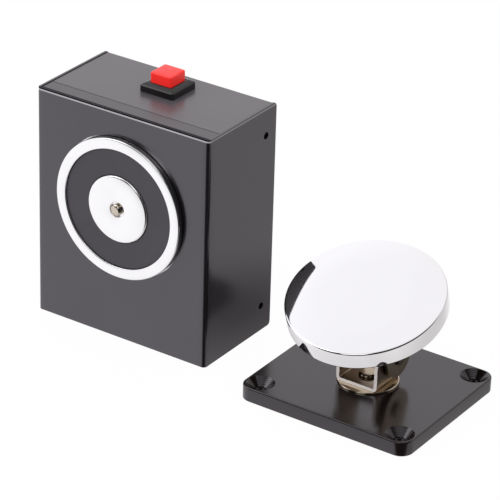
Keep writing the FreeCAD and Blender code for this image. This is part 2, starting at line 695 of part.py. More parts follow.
def terminal_block():
    """The screw terminal block on the board, its wire mouths facing down."""
    z0 = BOARD_FOOT + TERMINAL_EDGE
    z1 = z0 + TERMINAL_H
    y0 = BOARD_FRONT - TERMINAL_D
    body = block(-TERMINAL_W / 2, TERMINAL_W / 2, y0, BOARD_FRONT, z0, z1)
    body = rounded(body, TERMINAL_H * 0.3, "x", y=[y0], z=[z0])
    depth = TERMINAL_D / 2
    mouth = WIRE_MOUTH / 2
    y_mouth = y0 + TERMINAL_D * 0.6
    for x in terminal_ways():
        seat = V(x, y0 - 1, z0 + TERMINAL_H / 2)
        body = body.cut(rod(TERMINAL_SCREW_R + FIT, seat, V(0, 1, 0), depth + 1))
        body = body.cut(block(x - mouth, x + mouth, y_mouth, y_mouth + WIRE_MOUTH,
                              z0 - 1, z0 + TERMINAL_H * 0.7))
    return body


def terminal_screws():
    """The block's slotted clamp screws."""
    screws = []
    z = BOARD_FOOT + TERMINAL_EDGE + TERMINAL_H / 2
    y0 = BOARD_FRONT - TERMINAL_D
    for x in terminal_ways():
        screw = rod(TERMINAL_SCREW_R, V(x, y0 + SPARE, z), V(0, 1, 0), TERMINAL_D / 2 - SPARE)
        slot = block(x - TERMINAL_SCREW_R, x + TERMINAL_SCREW_R, y0, y0 + 2 * SPARE,
                     z - SPARE / 2, z + SPARE / 2)
        screws.append(screw.cut(slot))
    return screws


def jumper_header():
    """The three-pin header that sets the voltage."""
    half = HEADER_L / 2
    body = block(JUMPER_X - half, JUMPER_X + half, BOARD_FRONT - HEADER_T, BOARD_FRONT,
                 JUMPER_Z - HEADER_T / 2, JUMPER_Z + HEADER_T / 2)
    pin = HEADER_PIN / 2
    face = BOARD_FRONT - HEADER_T
    for k in (-1, 0, 1):
        x = JUMPER_X + k * HEADER_PITCH
        body = body.fuse(block(x - pin, x + pin, face - HEADER_PIN_L, face, JUMPER_Z - pin, JUMPER_Z + pin))
    return body


def jumper_link():
    """The link pushed on two of the header's pins."""
    pin = HEADER_PIN / 2 + FIT
    x0 = JUMPER_X - HEADER_PITCH
    y1 = BOARD_FRONT - HEADER_T - FIT
    link = block(x0 - HEADER_PITCH / 2, x0 + HEADER_PITCH * 1.5 - 4 * FIT, y1 - LINK_H, y1,
                 JUMPER_Z - HEADER_T / 2, JUMPER_Z + HEADER_T / 2)
    for x in (x0, x0 + HEADER_PITCH):
        link = link.cut(block(x - pin, x + pin, y1 - LINK_H - 1, y1 + 1, JUMPER_Z - pin, JUMPER_Z + pin))
    return link


def clamp_diode():
    """The diode across the coil, lying on the board on its bent leads."""
    y = BOARD_FRONT - DIODE_R
    half = DIODE_SPAN / 2
    body = rod(DIODE_R, V(DIODE_X - DIODE_L / 2, y, DIODE_Z), V(1, 0, 0), DIODE_L)
    end = half + DIODE_LEAD_R
    diode = body.fuse(rod(DIODE_LEAD_R, V(DIODE_X - end, y, DIODE_Z), V(1, 0, 0), 2 * end))
    wide = DIODE_LEAD_R
    for side in (-1, 1):
        x = DIODE_X + side * half
        diode = diode.fuse(block(x - wide, x + wide, y, BOARD_FRONT, DIODE_Z - wide, DIODE_Z + wide))
    return diode


def wire(corners, bend):
    """A round wire through the given corners, each rounded by an arc of the given radius."""
    edges = []
    start = corners[0]
    for before, corner, after in zip(corners, corners[1:], corners[2:]):
        coming, going = (corner - before).normalize(), (after - corner).normalize()
        half = coming.getAngle(going) / 2
        reach = bend * math.tan(half)
        a, b = corner - coming * reach, corner + going * reach
        towards = (going - coming).normalize()
        middle = corner + towards * (bend / math.cos(half) - bend)
        edges += [Part.makeLine(start, a), Part.Arc(a, middle, b).toShape()]
        start = b
    edges.append(Part.makeLine(start, corners[-1]))
    section = Part.Face(Part.Wire(Part.makeCircle(LEAD_R, corners[0], corners[1] - corners[0])))
    return Part.Wire(edges).makePipe(section)


def coil_leads():
    """The coil's two leads, out through the pot's floor to the board."""
    winding = FLOOR_Y - 2 * FIT - BOBBIN_T
    near = SPIGOT_Y + LEAD_BEND / 2
    far = BOARD_FRONT - LEAD_BEND
    return [wire([V(x, winding, z), V(x, near, z), V(board_x, far, z), V(board_x, BOARD_FRONT, z)], LEAD_BEND)
            for x, board_x, z in coil_lead_spots()]


def switch_leads():
    """The switch's two leads, from the blades down to the board."""
    leads = []
    for side in (-1, 1):
        x = BUTTON_X + side * (BLADE_X - BLADE_T / 2)
        corners = [V(x, BUTTON_Y, BLADE_FOOT), V(x, BUTTON_Y, SWITCH_LEAD_Z),
                   V(x, BOARD_FRONT, SWITCH_LEAD_Z)]
        leads.append(wire(corners, LEAD_BEND))
    return leads


def door_holes():
    """Places of the door plate's holes, from its middle."""
    return [(sx * DOOR_SPACING_X / 2, sy * DOOR_SPACING_Y / 2) for sx in (-1, 1) for sy in (-1, 1)]


def door_plate():
    """The black plate with four countersunk holes and a recess under the swivel rivet."""
    x, y = PLATE_X / 2, PLATE_Y / 2
    plate = block(-x, x, -y, y, 0, PLATE_T)
    plate = plate.makeFillet(PLATE_CORNER, edges_where(plate, "z"))
    rim = [e for e in plate.Edges if abs(e.BoundBox.ZMin - PLATE_T) < 1e-6]
    plate = plate.makeFillet(PLATE_EDGE, rim)
    foot = [e for e in plate.Edges if abs(e.BoundBox.ZMax) < 1e-6]
    plate = plate.makeChamfer(PLATE_EDGE / 2, foot)
    for hx, hy in door_holes():
        plate = plate.cut(rod(DOOR_HOLE_R, V(hx, hy, -1), V(0, 0, 1), PLATE_T + 2))
        sink = SINK_R - DOOR_HOLE_R
        plate = plate.cut(Part.makeCone(DOOR_HOLE_R, SINK_R, sink, V(hx, hy, PLATE_T - sink), V(0, 0, 1)))
    plate = plate.cut(rod(RIVET_R + FIT, V(0, 0, -1), V(0, 0, 1), PLATE_T + 2))
    return plate.cut(rod(RIVET_RECESS_R, V(0, 0, -1), V(0, 0, 1), RIVET_RECESS_D + 1))


def swivel_washer():
    """The wide washer between plate and bracket."""
    section = ring(SWIVEL_WASHER_R, RIVET_R + FIT, PLATE_T, PLATE_T + SWIVEL_WASHER_T)
    return turned(section, V(0, 0, 0), V(0, 0, 1))


def swivel_rivet():
    """The rivet that holds washer and bracket to the plate, its top head rounded."""
    shoulder = WEB_TOP + RUN
    top = shoulder + RIVET_HEAD_H
    foot = RIVET_RECESS_D - RIVET_FOOT_H
    brow = RIVET_HEAD_H / 2
    points = [(0, foot), (RIVET_FOOT_R, foot), (RIVET_FOOT_R, RIVET_RECESS_D), (RIVET_R, RIVET_RECESS_D),
              (RIVET_R, shoulder), (RIVET_HEAD_R, shoulder)]
    steps = 6
    for k in range(steps + 1):
        a = math.pi / 2 * k / steps
        points.append((RIVET_HEAD_R - brow * 1.6 * (1 - math.cos(a)), top - brow + brow * math.sin(a)))
    return turned(points + [(0, top)], V(0, 0, 0), V(0, 0, 1))


def folded_u(half, length, foot, top, web_low):
    """A bracket folded from sheet: a web and two legs, about the middle."""
    outer = block(-half, half, -length / 2, length / 2, foot, top)
    outer = rounded(outer, BRACKET_BEND, "y", x=[-half, half], z=[foot if web_low else top])
    z0 = foot + BRACKET_T if web_low else foot - 1
    z1 = top + 1 if web_low else top - BRACKET_T
    inside = half - BRACKET_T
    inner = block(-inside, inside, -length, length, z0, z1)
    inner = rounded(inner, BRACKET_BEND - BRACKET_T, "y", x=[-inside, inside], z=[z0 if web_low else z1])
    return outer, inner


def swivel_bracket():
    """The lower bracket, which turns on the rivet; its legs carry the hinge pin."""
    half = LOWER_W / 2
    outer, inner = folded_u(half, LOWER_L, WEB_FOOT, LEG_TOP, True)
    outer = rounded(outer, LEG_FRONT_R, "x", y=[-LOWER_L / 2], z=[LEG_TOP])
    outer = rounded(outer, LEG_BACK_R, "x", y=[LOWER_L / 2], z=[LEG_TOP])
    bracket = outer.cut(inner)
    bracket = bracket.cut(rod(RIVET_R + RUN, V(0, 0, 0), V(0, 0, 1), LEG_TOP))
    return bracket.cut(rod(HINGE_R + RUN, V(-LOWER_W, HINGE_Y, HINGE_Z), V(1, 0, 0), 2 * LOWER_W))


def hinge_washers():
    """Thin washers between the legs and the armature's ears."""
    washers = []
    for side in (-1, 1):
        start = V(side * LOWER_W / 2, HINGE_Y, HINGE_Z)
        direction = V(side, 0, 0)
        washers.append(turned(ring(HINGE_WASHER_R, HINGE_R + RUN, 0, HINGE_WASHER_T), start, direction))
    return washers


def tilted(shape):
    """A piece of the armature, drawn about the hinge pin, at its resting tilt."""
    shape = shape.copy()
    shape.rotate(V(0, 0, 0), V(1, 0, 0), TILT)
    shape.translate(V(0, HINGE_Y, HINGE_Z))
    return shape


def hinge_pin():
    """The riveted pin through ears and legs, with a rounded head at each end."""
    shoulder = EAR_OUT
    end = shoulder + HINGE_HEAD_T
    brow = HINGE_HEAD_T * 0.6
    points = []
    steps = 5
    for k in range(steps + 1):
        a = math.pi / 2 * k / steps
        points.append((HINGE_HEAD_R - brow * 1.8 * (1 - math.sin(a)), -end + brow * (1 - math.cos(a))))
    left = [(0, -end)] + points + [(HINGE_HEAD_R, -shoulder), (HINGE_R, -shoulder)]
    right = [(r, -d) for r, d in reversed(left)]
    return tilted(turned(left + right, V(0, 0, 0), V(1, 0, 0)))


def armature_bracket():
    """The upper bracket: a web under the disc and two round-ended ears outside the legs."""
    outer, inner = folded_u(EAR_OUT, 2 * EAR_ROUND, -EAR_ROUND, REACH, False)
    outer = rounded(outer, EAR_ROUND - FIT, "x", y=[-EAR_ROUND, EAR_ROUND], z=[-EAR_ROUND])
    bracket = outer.cut(inner)
    bracket = bracket.cut(rod(HINGE_R + FIT, V(-EAR_OUT - 1, 0, 0), V(1, 0, 0), 2 * EAR_OUT + 2))
    return tilted(bracket.cut(rod(DISC_SCREW_R + FIT, V(0, 0, 0), V(0, 0, 1), REACH + 1)))


def armature_disc():
    """The bright steel disc that the magnet holds, with a blind tapped hole in its back."""
    top = REACH + DISC_T
    hole = DISC_SCREW_R + FIT
    depth = REACH + DISC_SCREW_DEPTH + SPARE
    section = [(hole, REACH), (DISC_R - DISC_EDGE, REACH), (DISC_R, REACH + DISC_EDGE),
               (DISC_R, top - DISC_EDGE), (DISC_R - DISC_EDGE, top), (0, top), (0, depth), (hole, depth)]
    return tilted(turned(section, V(0, 0, 0), V(0, 0, 1)))


def disc_screw():
    """The hexagon screw that holds the disc, from inside the bracket."""
    head = hexagon(DISC_SCREW_AF, V(0, 0, SCREW_FACE - DISC_SCREW_HEAD), V(0, 0, 1), DISC_SCREW_HEAD)
    shank = rod(DISC_SCREW_R, V(0, 0, SCREW_FACE), V(0, 0, 1), REACH + DISC_SCREW_DEPTH - SCREW_FACE)
    return tilted(head.fuse(shank))


def lock_washer():
    """The split washer under the screw's head."""
    section = ring(LOCK_WASHER_R, DISC_SCREW_R + FIT, SCREW_FACE, REACH - BRACKET_T)
    washer = turned(section, V(0, 0, 0), V(0, 0, 1))
    return tilted(washer.cut(block(0, LOCK_WASHER_R + 1, -SPARE / 2, SPARE / 2, 0, REACH)))


WALL_UNIT = [front_cover, back_chassis, side_tabs, magnet_frame, magnet_pot, centre_pole, pole_nut,
             coil_bobbin, coil_winding, resin_face, pushoff_pin, pushoff_spring, spring_plug, magnet_screws,
             button_bezel, button_cap, contact_bridge, button_spring, terminal_blades, switch_base,
             cable_bush, circuit_board, board_pillars, board_screws, terminal_block, terminal_screws,
             jumper_header, jumper_link, clamp_diode, coil_leads, switch_leads]
DOOR_UNIT = [door_plate, swivel_washer, swivel_rivet, swivel_bracket, hinge_washers, hinge_pin,
             armature_bracket, armature_disc, disc_screw, lock_washer]


def write(makers, at):
    """Each piece is made, carried to its unit's place and written under its own name."""
    for maker in makers:
        made = maker()
        pieces = made if isinstance(made, list) else [made]
        solids = [solid for piece in pieces for solid in piece.Solids]
        for solid in solids:
            solid.translate(at)
        shape = solids[0] if len(solids) == 1 else Part.makeCompound(solids)
        shape.exportStep("parts/%s.step" % maker.__name__)
        box = shape.BoundBox
        print("%-18s %d solid, %.2f cm3, x %.2f..%.2f y %.2f..%.2f z %.2f..%.2f%s" % (
            maker.__name__, len(solids), shape.Volume / 1000, box.XMin, box.XMax, box.YMin, box.YMax,
            box.ZMin, box.ZMax, "" if shape.isValid() else "  NOT VALID"))


os.makedirs("parts", exist_ok=True)
write(WALL_UNIT, WALL_AT)
write(DOOR_UNIT, DOOR_AT)
print("wall unit at x %.3f y %.3f, door unit at x %.3f y %.3f" % (WALL_AT.x, WALL_AT.y, DOOR_AT.x, DOOR_AT.y))
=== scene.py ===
# %% [markdown]
# An electromagnetic door holder. On the left stands the wall unit, a folded black case with a
# round magnet in its face and a red release button on top. On the right lies the door unit, a
# bright steel disc on a tilting bracket above a black plate. The solids come from the packed
# model, which is the frame that every piece below is fitted to. All lengths are metres inside
# Blender, so a size written in millimetres is multiplied by MM.

# %% Load the frame
import json
import math

import bmesh
import bpy
import numpy as np
from mathutils import Matrix, Vector


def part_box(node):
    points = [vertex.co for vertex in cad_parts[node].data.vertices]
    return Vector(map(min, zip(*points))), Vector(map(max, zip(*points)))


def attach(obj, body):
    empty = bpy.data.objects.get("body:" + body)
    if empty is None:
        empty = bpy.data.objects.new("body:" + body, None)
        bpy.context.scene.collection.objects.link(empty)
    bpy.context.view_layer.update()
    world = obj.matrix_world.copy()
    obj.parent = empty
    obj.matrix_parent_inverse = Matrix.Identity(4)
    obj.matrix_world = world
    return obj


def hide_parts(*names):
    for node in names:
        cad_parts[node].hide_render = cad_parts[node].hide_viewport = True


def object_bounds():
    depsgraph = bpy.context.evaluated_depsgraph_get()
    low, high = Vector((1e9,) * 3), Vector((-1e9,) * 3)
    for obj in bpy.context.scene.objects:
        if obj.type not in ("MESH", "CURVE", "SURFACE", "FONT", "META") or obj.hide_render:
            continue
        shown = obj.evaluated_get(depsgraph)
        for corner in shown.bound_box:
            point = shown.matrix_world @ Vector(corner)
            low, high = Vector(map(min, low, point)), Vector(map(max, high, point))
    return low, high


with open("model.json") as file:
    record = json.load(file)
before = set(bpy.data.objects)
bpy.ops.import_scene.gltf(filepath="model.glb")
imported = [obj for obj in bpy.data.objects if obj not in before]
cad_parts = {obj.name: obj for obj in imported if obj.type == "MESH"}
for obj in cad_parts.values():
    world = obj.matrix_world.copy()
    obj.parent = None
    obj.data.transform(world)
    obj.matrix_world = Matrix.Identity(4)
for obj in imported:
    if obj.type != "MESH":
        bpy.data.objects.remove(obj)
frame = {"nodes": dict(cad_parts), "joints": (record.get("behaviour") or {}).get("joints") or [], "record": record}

MM = 0.001
cad_low, cad_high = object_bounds()
print("CAD box in mm:", [round(v / MM, 1) for v in (*cad_low, *cad_high)])

# %% [markdown]
# The photograph was taken from the right and from above with a long lens, which hardly shows
# any perspective. A fit to the corners of the case and the plate gave the distance, the two
# angles, the small roll and the focal length in pixels. Blender wants a lens in millimetres
# for a 36 mm wide sensor, so the focal length is scaled by 36 over the picture's 500 pixels.

# %% Camera
CAMERA_AT = (626.52, -946.93, 639.61)
AZIMUTH, ELEVATION, ROLL = map(math.radians, (33.643, 27.388, 1.669))
FOCAL_PIXELS, PICTURE_PIXELS, SENSOR = 2942.7, 500, 36.0


def put(name, data):
    """A new object in the scene."""
    made = bpy.data.objects.new(name, data)
    bpy.context.scene.collection.objects.link(made)
    return made


camera = put("camera", bpy.data.cameras.new("camera"))
camera.data.sensor_width = SENSOR
camera.data.lens = FOCAL_PIXELS / PICTURE_PIXELS * SENSOR
camera.data.clip_start, camera.data.clip_end = 0.05, 50.0
outward = math.cos(ELEVATION)
back = Vector((math.sin(AZIMUTH) * outward, -math.cos(AZIMUTH) * outward, math.sin(ELEVATION)))
level = (-back).cross(Vector((0, 0, 1))).normalized()
upright = level.cross(-back)
right = math.cos(ROLL) * level + math.sin(ROLL) * upright
top = math.cos(ROLL) * upright - math.sin(ROLL) * level
turn = Matrix((right, top, back)).transposed()
camera.matrix_world = Matrix.Translation(Vector(CAMERA_AT) * MM) @ turn.to_4x4()
bpy.context.scene.camera = camera
print("camera", [round(v, 3) for v in camera.location], "lens", round(camera.data.lens, 1))

# %% [markdown]
# Materials are graphs of nodes. A few short helpers keep the graphs readable: one adds a node
# and fills its sockets with numbers or with other nodes' outputs, and the rest do the same for
# arithmetic, for mixing two colours or shaders, for measuring vectors, for cloudy noise and for
# mapping one range of numbers onto another.

# %% Helpers for node graphs
def fill(tree, socket, value):
    """A socket takes a link if the value is another node's output, and a plain value otherwise."""
    if isinstance(value, bpy.types.NodeSocket):
        tree.links.new(value, socket)
    else:
        socket.default_value = value


def node(tree, kind, settings=None, **sockets):
    """Adds a node, sets its options, and fills or links its sockets by name (a space is written _)."""
    made = tree.nodes.new(kind)
    for name, value in (settings or {}).items():
        setattr(made, name, value)
    for name, value in sockets.items():
        fill(tree, made.inputs[name.replace("_", " ")], value)
    return made


def arithmetic(tree, operation, first, second=0.0, third=0.0):
    """One Math node; returns its output."""
    made = tree.nodes.new("ShaderNodeMath")
    made.operation = operation
    for socket, value in zip(made.inputs, (first, second, third)):
        fill(tree, socket, value)
    return made.outputs[0]


def product(tree, first, *others):
    """All the values multiplied together."""
    for value in others:
        first = arithmetic(tree, "MULTIPLY", first, value)
    return first


def colour_mix(tree, factor, first, second):
    """Goes from the first colour to the second as factor goes from 0 to 1."""
    made = tree.nodes.new("ShaderNodeMix")
    made.data_type = "RGBA"
    fill(tree, made.inputs[0], factor)
    fill(tree, made.inputs[6], first)
    fill(tree, made.inputs[7], second)
    return made.outputs[2]


def shader_mix(tree, factor, first, second):
    """Goes from the first shader node to the second as factor goes from 0 to 1."""
    made = tree.nodes.new("ShaderNodeMixShader")
    for socket, value in zip(made.inputs, (factor, first.outputs[0], second.outputs[0])):
        fill(tree, socket, value)
    return made


def lean(tree, vector, axis):
    """How far a direction leans towards an axis: 1 is straight along it, -1 is the other way."""
    dot = node(tree, "ShaderNodeVectorMath", {"operation": "DOT_PRODUCT"}, Vector=vector)
    dot.inputs[1].default_value = Vector(axis).normalized()
    return dot.outputs["Value"]


def length(tree, vector):
    """How long a vector is."""
    return node(tree, "ShaderNodeVectorMath", {"operation": "LENGTH"}, Vector=vector).outputs["Value"]


def noise(tree, vector, scale, detail):
    """A cloudy pattern: its grain gets finer with the scale and rougher with the detail."""
    return node(tree, "ShaderNodeTexNoise", Vector=vector, Scale=scale, Detail=detail).outputs["Fac"]


def stretch(tree, value, low, high, to_low, to_high):
    """Maps the range low..high of a value onto to_low..to_high, and holds it at the ends."""
    return node(tree, "ShaderNodeMapRange", Value=value, From_Min=low, From_Max=high,
                To_Min=to_low, To_Max=to_high).outputs[0]


def effect(name, inputs, outputs):
    """An empty shader group with named sockets; returns it, its given values and its results."""
    kinds = {"number": "NodeSocketFloat", "vector": "NodeSocketVector", "colour": "NodeSocketColor"}
    group = bpy.data.node_groups.new(name, "ShaderNodeTree")
    for side, sockets in (("INPUT", inputs), ("OUTPUT", outputs)):
        for label, kind in sockets.items():
            group.interface.new_socket(name=label, in_out=side, socket_type=kinds[kind])
    return group, group.nodes.new("NodeGroupInput").outputs, group.nodes.new("NodeGroupOutput").inputs


def use(tree, group, **sockets):
    """Places a group in a material and fills its inputs; returns its outputs."""
    made = tree.nodes.new("ShaderNodeGroup")
    made.node_tree = group
    for name, value in sockets.items():
        fill(tree, made.inputs[name.replace("_", " ")], value)
    return made.outputs


print("helpers ready")

# %% [markdown]
# The studio is a white room, and what a shiny surface mirrors depends only on the direction.
# Round the camera's own direction the room is dark, which draws the thin dark lines along
# rounded edges and the dark patch at the disc's left. The ceiling stays light. The room is
# somewhat dimmer behind the object, at the right and below the floor, and what is mirrored has a
# faint tint. Soft light comes evenly from all sides, and the camera sees pure white. Each patch of
# the room is written as an axis, the range of the lean towards it, and the light at both ends.

# %% World
BEHIND, RIGHT, BELOW, ABOVE = (0.62, 0.78, -0.05), (0.9, 0.0, 0.43), (0.0, 0.0, -1.0), (0.0, 0.0, 1.0)
WARM, COOL, WHITE = (1.0, 0.970, 0.975, 1), (0.985, 0.972, 1.0, 1), (1.0, 1.0, 1.0, 1)
SOFT_LIGHT = 0.95
world = bpy.data.worlds.new("studio")
bpy.context.scene.world = world
world.use_nodes = True
tree = world.node_tree
tree.nodes.clear()
direction = node(tree, "ShaderNodeTexCoord").outputs["Generated"]


def room_light(axis, low, high, away, near):
    """A level that goes from away to near as the direction's lean to the axis goes from low to high."""
    return stretch(tree, lean(tree, direction, axis), low, high, away, near)


camera_side = room_light(back, 0.17, 0.38, 1.0, 0.02)
lit_ceiling = arithmetic(tree, "MAXIMUM", camera_side, room_light(ABOVE, 0.72, 0.90, 0.0, 0.9))
mirrored = product(tree, lit_ceiling, room_light(BEHIND, 0.4, 0.95, 1.0, 0.62),
                   room_light(RIGHT, -0.14, -0.02, 1.0, 0.93), room_light(BELOW, 0.5, 0.9, 1.0, 0.70))
path = node(tree, "ShaderNodeLightPath").outputs
soft = node(tree, "ShaderNodeMix", {"data_type": "FLOAT"})
fill(tree, soft.inputs[0], path["Is Glossy Ray"])
fill(tree, soft.inputs[2], SOFT_LIGHT)
fill(tree, soft.inputs[3], mirrored)
level_now = arithmetic(tree, "MAXIMUM", soft.outputs[0], path["Is Camera Ray"])
tint = colour_mix(tree, room_light((-0.6, -0.5, 0.3), -0.6, 0.6, 0.0, 1.0), WARM, COOL)
tint = colour_mix(tree, path["Is Glossy Ray"], WHITE, tint)
room = node(tree, "ShaderNodeBackground", Color=tint, Strength=level_now)
tree.links.new(room.outputs[0], node(tree, "ShaderNodeOutputWorld").inputs["Surface"])
print("world", world.name)

# %% [markdown]
# The floor is a big white sheet. To the camera it is mostly plain white light with a little
# real white paint mixed in, so the background stays white while the object still throws a faint
# shadow. To rays that a shiny surface mirrors the floor is clear, so they see the room instead.
# Only between the two units, where one shades the floor for the other, do they see a dark floor.

# %% Floor
LIGHT_SHARE = 0.975
SHADE_AT, SHADE_SIZE = (0.010, 0.030, 0.0), (0.034, 0.060, 1.0)
FLOOR_HALF, FLOOR_GAP = 4, 0.00005


def new_material(name):
    """An empty material; returns it, its tree and the socket that takes its shader."""
    material = bpy.data.materials.new(name)
    material.use_nodes = True
    tree = material.node_tree
    tree.nodes.clear()
    return material, tree, node(tree, "ShaderNodeOutputMaterial").inputs["Surface"]


def floor_material():
    """White paint mixed with white light for the camera, and clear or shaded for reflections."""
    material, tree, surface = new_material("studio_floor")
    paint = node(tree, "ShaderNodeBsdfDiffuse", Color=(0.86, 0.86, 0.86, 1))
    glow = node(tree, "ShaderNodeEmission", Color=WHITE, Strength=1.0)
    clear = node(tree, "ShaderNodeBsdfTransparent", Color=WHITE)
    shade = node(tree, "ShaderNodeBsdfDiffuse", Color=(0.03, 0.03, 0.03, 1))
    path = node(tree, "ShaderNodeLightPath").outputs
    place = node(tree, "ShaderNodeTexCoord").outputs["Object"]
    round_gap = node(tree, "ShaderNodeMapping", {"vector_type": "TEXTURE"}, Vector=place, Location=SHADE_AT,
                     Scale=SHADE_SIZE).outputs[0]
    seen = shader_mix(tree, arithmetic(tree, "MULTIPLY", path["Is Camera Ray"], LIGHT_SHARE), paint, glow)
    mirrored = shader_mix(tree, stretch(tree, length(tree, round_gap), 0.2, 1.2, 0.42, 1.0), shade, clear)
    tree.links.new(shader_mix(tree, path["Is Glossy Ray"], seen, mirrored).outputs[0], surface)
    return material


floor_mesh = bpy.data.meshes.new("floor")
corners = [(x * FLOOR_HALF, y * FLOOR_HALF, 0) for x, y in ((-1, -1), (1, -1), (1, 1), (-1, 1))]
floor_mesh.from_pydata(corners, [], [(0, 1, 2, 3)])
floor = put("floor", floor_mesh)
floor.location.z = cad_low.z - FLOOR_GAP
floor_mesh.materials.append(floor_material())
print("floor at", round(floor.location.z / MM, 3), "mm")

# %% [markdown]
# Two soft lamps help the white room: a wide one high on the left, which gives the bright faces
# their gleam, and a weaker one in front.

# %% Lamps
def lamp(name, at, aim, size, watts):
    """A square area lamp that looks from one point to another."""
    light = bpy.data.lights.new(name, "AREA")
    light.size, light.energy = size, watts
    made = put(name, light)
    made.location = at
    made.rotation_euler = (Vector(aim) - Vector(at)).to_track_quat("-Z", "Y").to_euler()
    return made


AIM = (0, 0, 0.04)
lamp("lamp_high_left", (-0.9, -0.5, 1.2), AIM, 0.9, 5.0)
lamp("lamp_front", (0.2, -1.4, 0.9), AIM, 0.8, 3.0)
bpy.context.scene.view_settings.view_transform = "Standard"

# %% [markdown]
# Four effects return on many pieces, so each is a shader group that is built once. A sprayed
# paint skin has a faint orange-peel ripple. A turned face has fine rings round its axis, which
# depend only on the distance from it. Handling leaves soft smudges that change the gloss. Dust
# is a sparse scatter of small pale specks.

# %% Paint skin and turned rings
def paint_skin_group():
    """Ripple: two noises of different size added up. Gloss change: a third, much wider one."""
    group, given, out = effect("paint_skin", {"Vector": "vector", "Size": "number"},
                               {"Height": "number", "Gloss Change": "number"})
    peel = noise(group, given["Vector"], given["Size"], 2.0)
    grit = noise(group, given["Vector"], arithmetic(group, "MULTIPLY", given["Size"], 4.7), 3.0)
    wide = noise(group, given["Vector"], 28.0, 2.0)
    group.links.new(arithmetic(group, "MULTIPLY_ADD", grit, 0.25, peel), out["Height"])
    group.links.new(stretch(group, wide, 0.3, 0.7, -1.0, 1.0), out["Gloss Change"])
    return group


def turned_group():
    """Rings: a one-way noise read at the distance from the local Z axis, so it repeats round it."""
    group, given, out = effect("turned_rings", {"Vector": "vector", "Per Metre": "number"},
                               {"Height": "number", "Mask": "number"})
    flat = node(group, "ShaderNodeVectorMath", {"operation": "MULTIPLY"}, Vector=given["Vector"])
    flat.inputs[1].default_value = (1, 1, 0)
    read_at = arithmetic(group, "MULTIPLY", length(group, flat.outputs[0]), given["Per Metre"])
    broad = arithmetic(group, "MULTIPLY", read_at, 0.11)
    rings, bands = (node(group, "ShaderNodeTexNoise", {"noise_dimensions": "1D"}, W=at, Scale=1.0,
                         Detail=detail).outputs["Fac"] for at, detail in ((read_at, 3.0), (broad, 1.0)))
    group.links.new(rings, out["Height"])
    group.links.new(stretch(group, bands, 0.35, 0.65, 0.0, 1.0), out["Mask"])
    return group


PAINT_SKIN, TURNED = paint_skin_group(), turned_group()
print("groups", PAINT_SKIN.name, TURNED.name)


# %% Handling marks and dust
def handling_group():
    """Smudges: a soft wide noise bent by a second one; output 0 is clean and 1 is smudged."""
    group, given, out = effect("handling", {"Vector": "vector", "Size": "number"}, {"Mask": "number"})
    bend = node(group, "ShaderNodeTexNoise", Vector=given["Vector"], Scale=40.0, Detail=1.0)
    moved = node(group, "ShaderNodeVectorMath", {"operation": "MULTIPLY_ADD"}, Vector=bend.outputs["Color"])
    moved.inputs[1].default_value = (0.02, 0.02, 0.02)
    group.links.new(given["Vector"], moved.inputs[2])
    smear = noise(group, moved.outputs[0], given["Size"], 4.0)
    group.links.new(stretch(group, smear, 0.42, 0.68, 0.0, 1.0), out["Mask"])
    return group


def dust_group():
    """Specks: the cells of a Voronoi pattern whose nearest point is very near, thinned by noise."""
    group, given, out = effect("dust", {"Vector": "vector", "Amount": "number"}, {"Mask": "number"})
    cells = node(group, "ShaderNodeTexVoronoi", Vector=given["Vector"], Scale=700.0)
    speck = stretch(group, cells.outputs["Distance"], 0.03, 0.10, 1.0, 0.0)
    thin = stretch(group, noise(group, given["Vector"], 120.0, 2.0), 0.55, 0.65, 0.0, 1.0)
    group.links.new(product(group, speck, thin, given["Amount"]), out["Mask"])
    return group


HANDLING, DUST = handling_group(), dust_group()
print("groups", HANDLING.name, DUST.name)

# %% [markdown]
# Each finish is a Principled shader whose colour, roughness and normal come from those groups.
# The patterns read Object coordinates. Every piece's object sits at the origin, so these are
# simply the place in the room, and a pattern keeps its real size on every piece. On a turned
# piece a Mapping node first puts the pattern's centre on the piece's axis and turns it upright.
# A painted highlight runs as a thin pale line along the cover's top edge, and painted shade draws a dark line
# behind that edge.
# The lower bracket's cut edges are bare metal, painted pale and matt as a highlight.

# %% Paint and plastic
FINISHES = {}


def start(name):
    """A new finish with a Principled shader, kept by its name; returns its tree, shader and coordinates."""
    FINISHES[name], tree, surface = new_material(name)
    shader = tree.nodes.new("ShaderNodeBsdfPrincipled")
    tree.links.new(shader.outputs[0], surface)
    place = node(tree, "ShaderNodeTexCoord").outputs["Object"]
    return tree, shader, place


def ripple(tree, shader, height, depth):
    """Feeds a height through a Bump node; depth is the height's real depth in metres."""
    bump = node(tree, "ShaderNodeBump", Strength=1.0, Distance=depth, Height=height)
    tree.links.new(bump.outputs[0], shader.inputs["Normal"])


PAINT_IOR, PAINT_TINT = 1.60, (0.97, 0.93, 1.0, 1)
# LINE_HALF, LINE_END and the fades place a painted highlight along the cover's top edge, and the grey below is its
# colour. The black below is painted shade for the gap behind that edge.
LINE_HALF, LINE_END, HIGHLIGHT_FADES = 0.00025, 0.00045, (-0.0236, -0.0226)
DUST_TONE, PAINTED_HIGHLIGHT_GREY, GAP_SHADE_BLACK = (0.45, 0.44, 0.42, 1), (0.36, 0.3492, 0.36, 1), (0.001, 0.001, 0.001, 1)


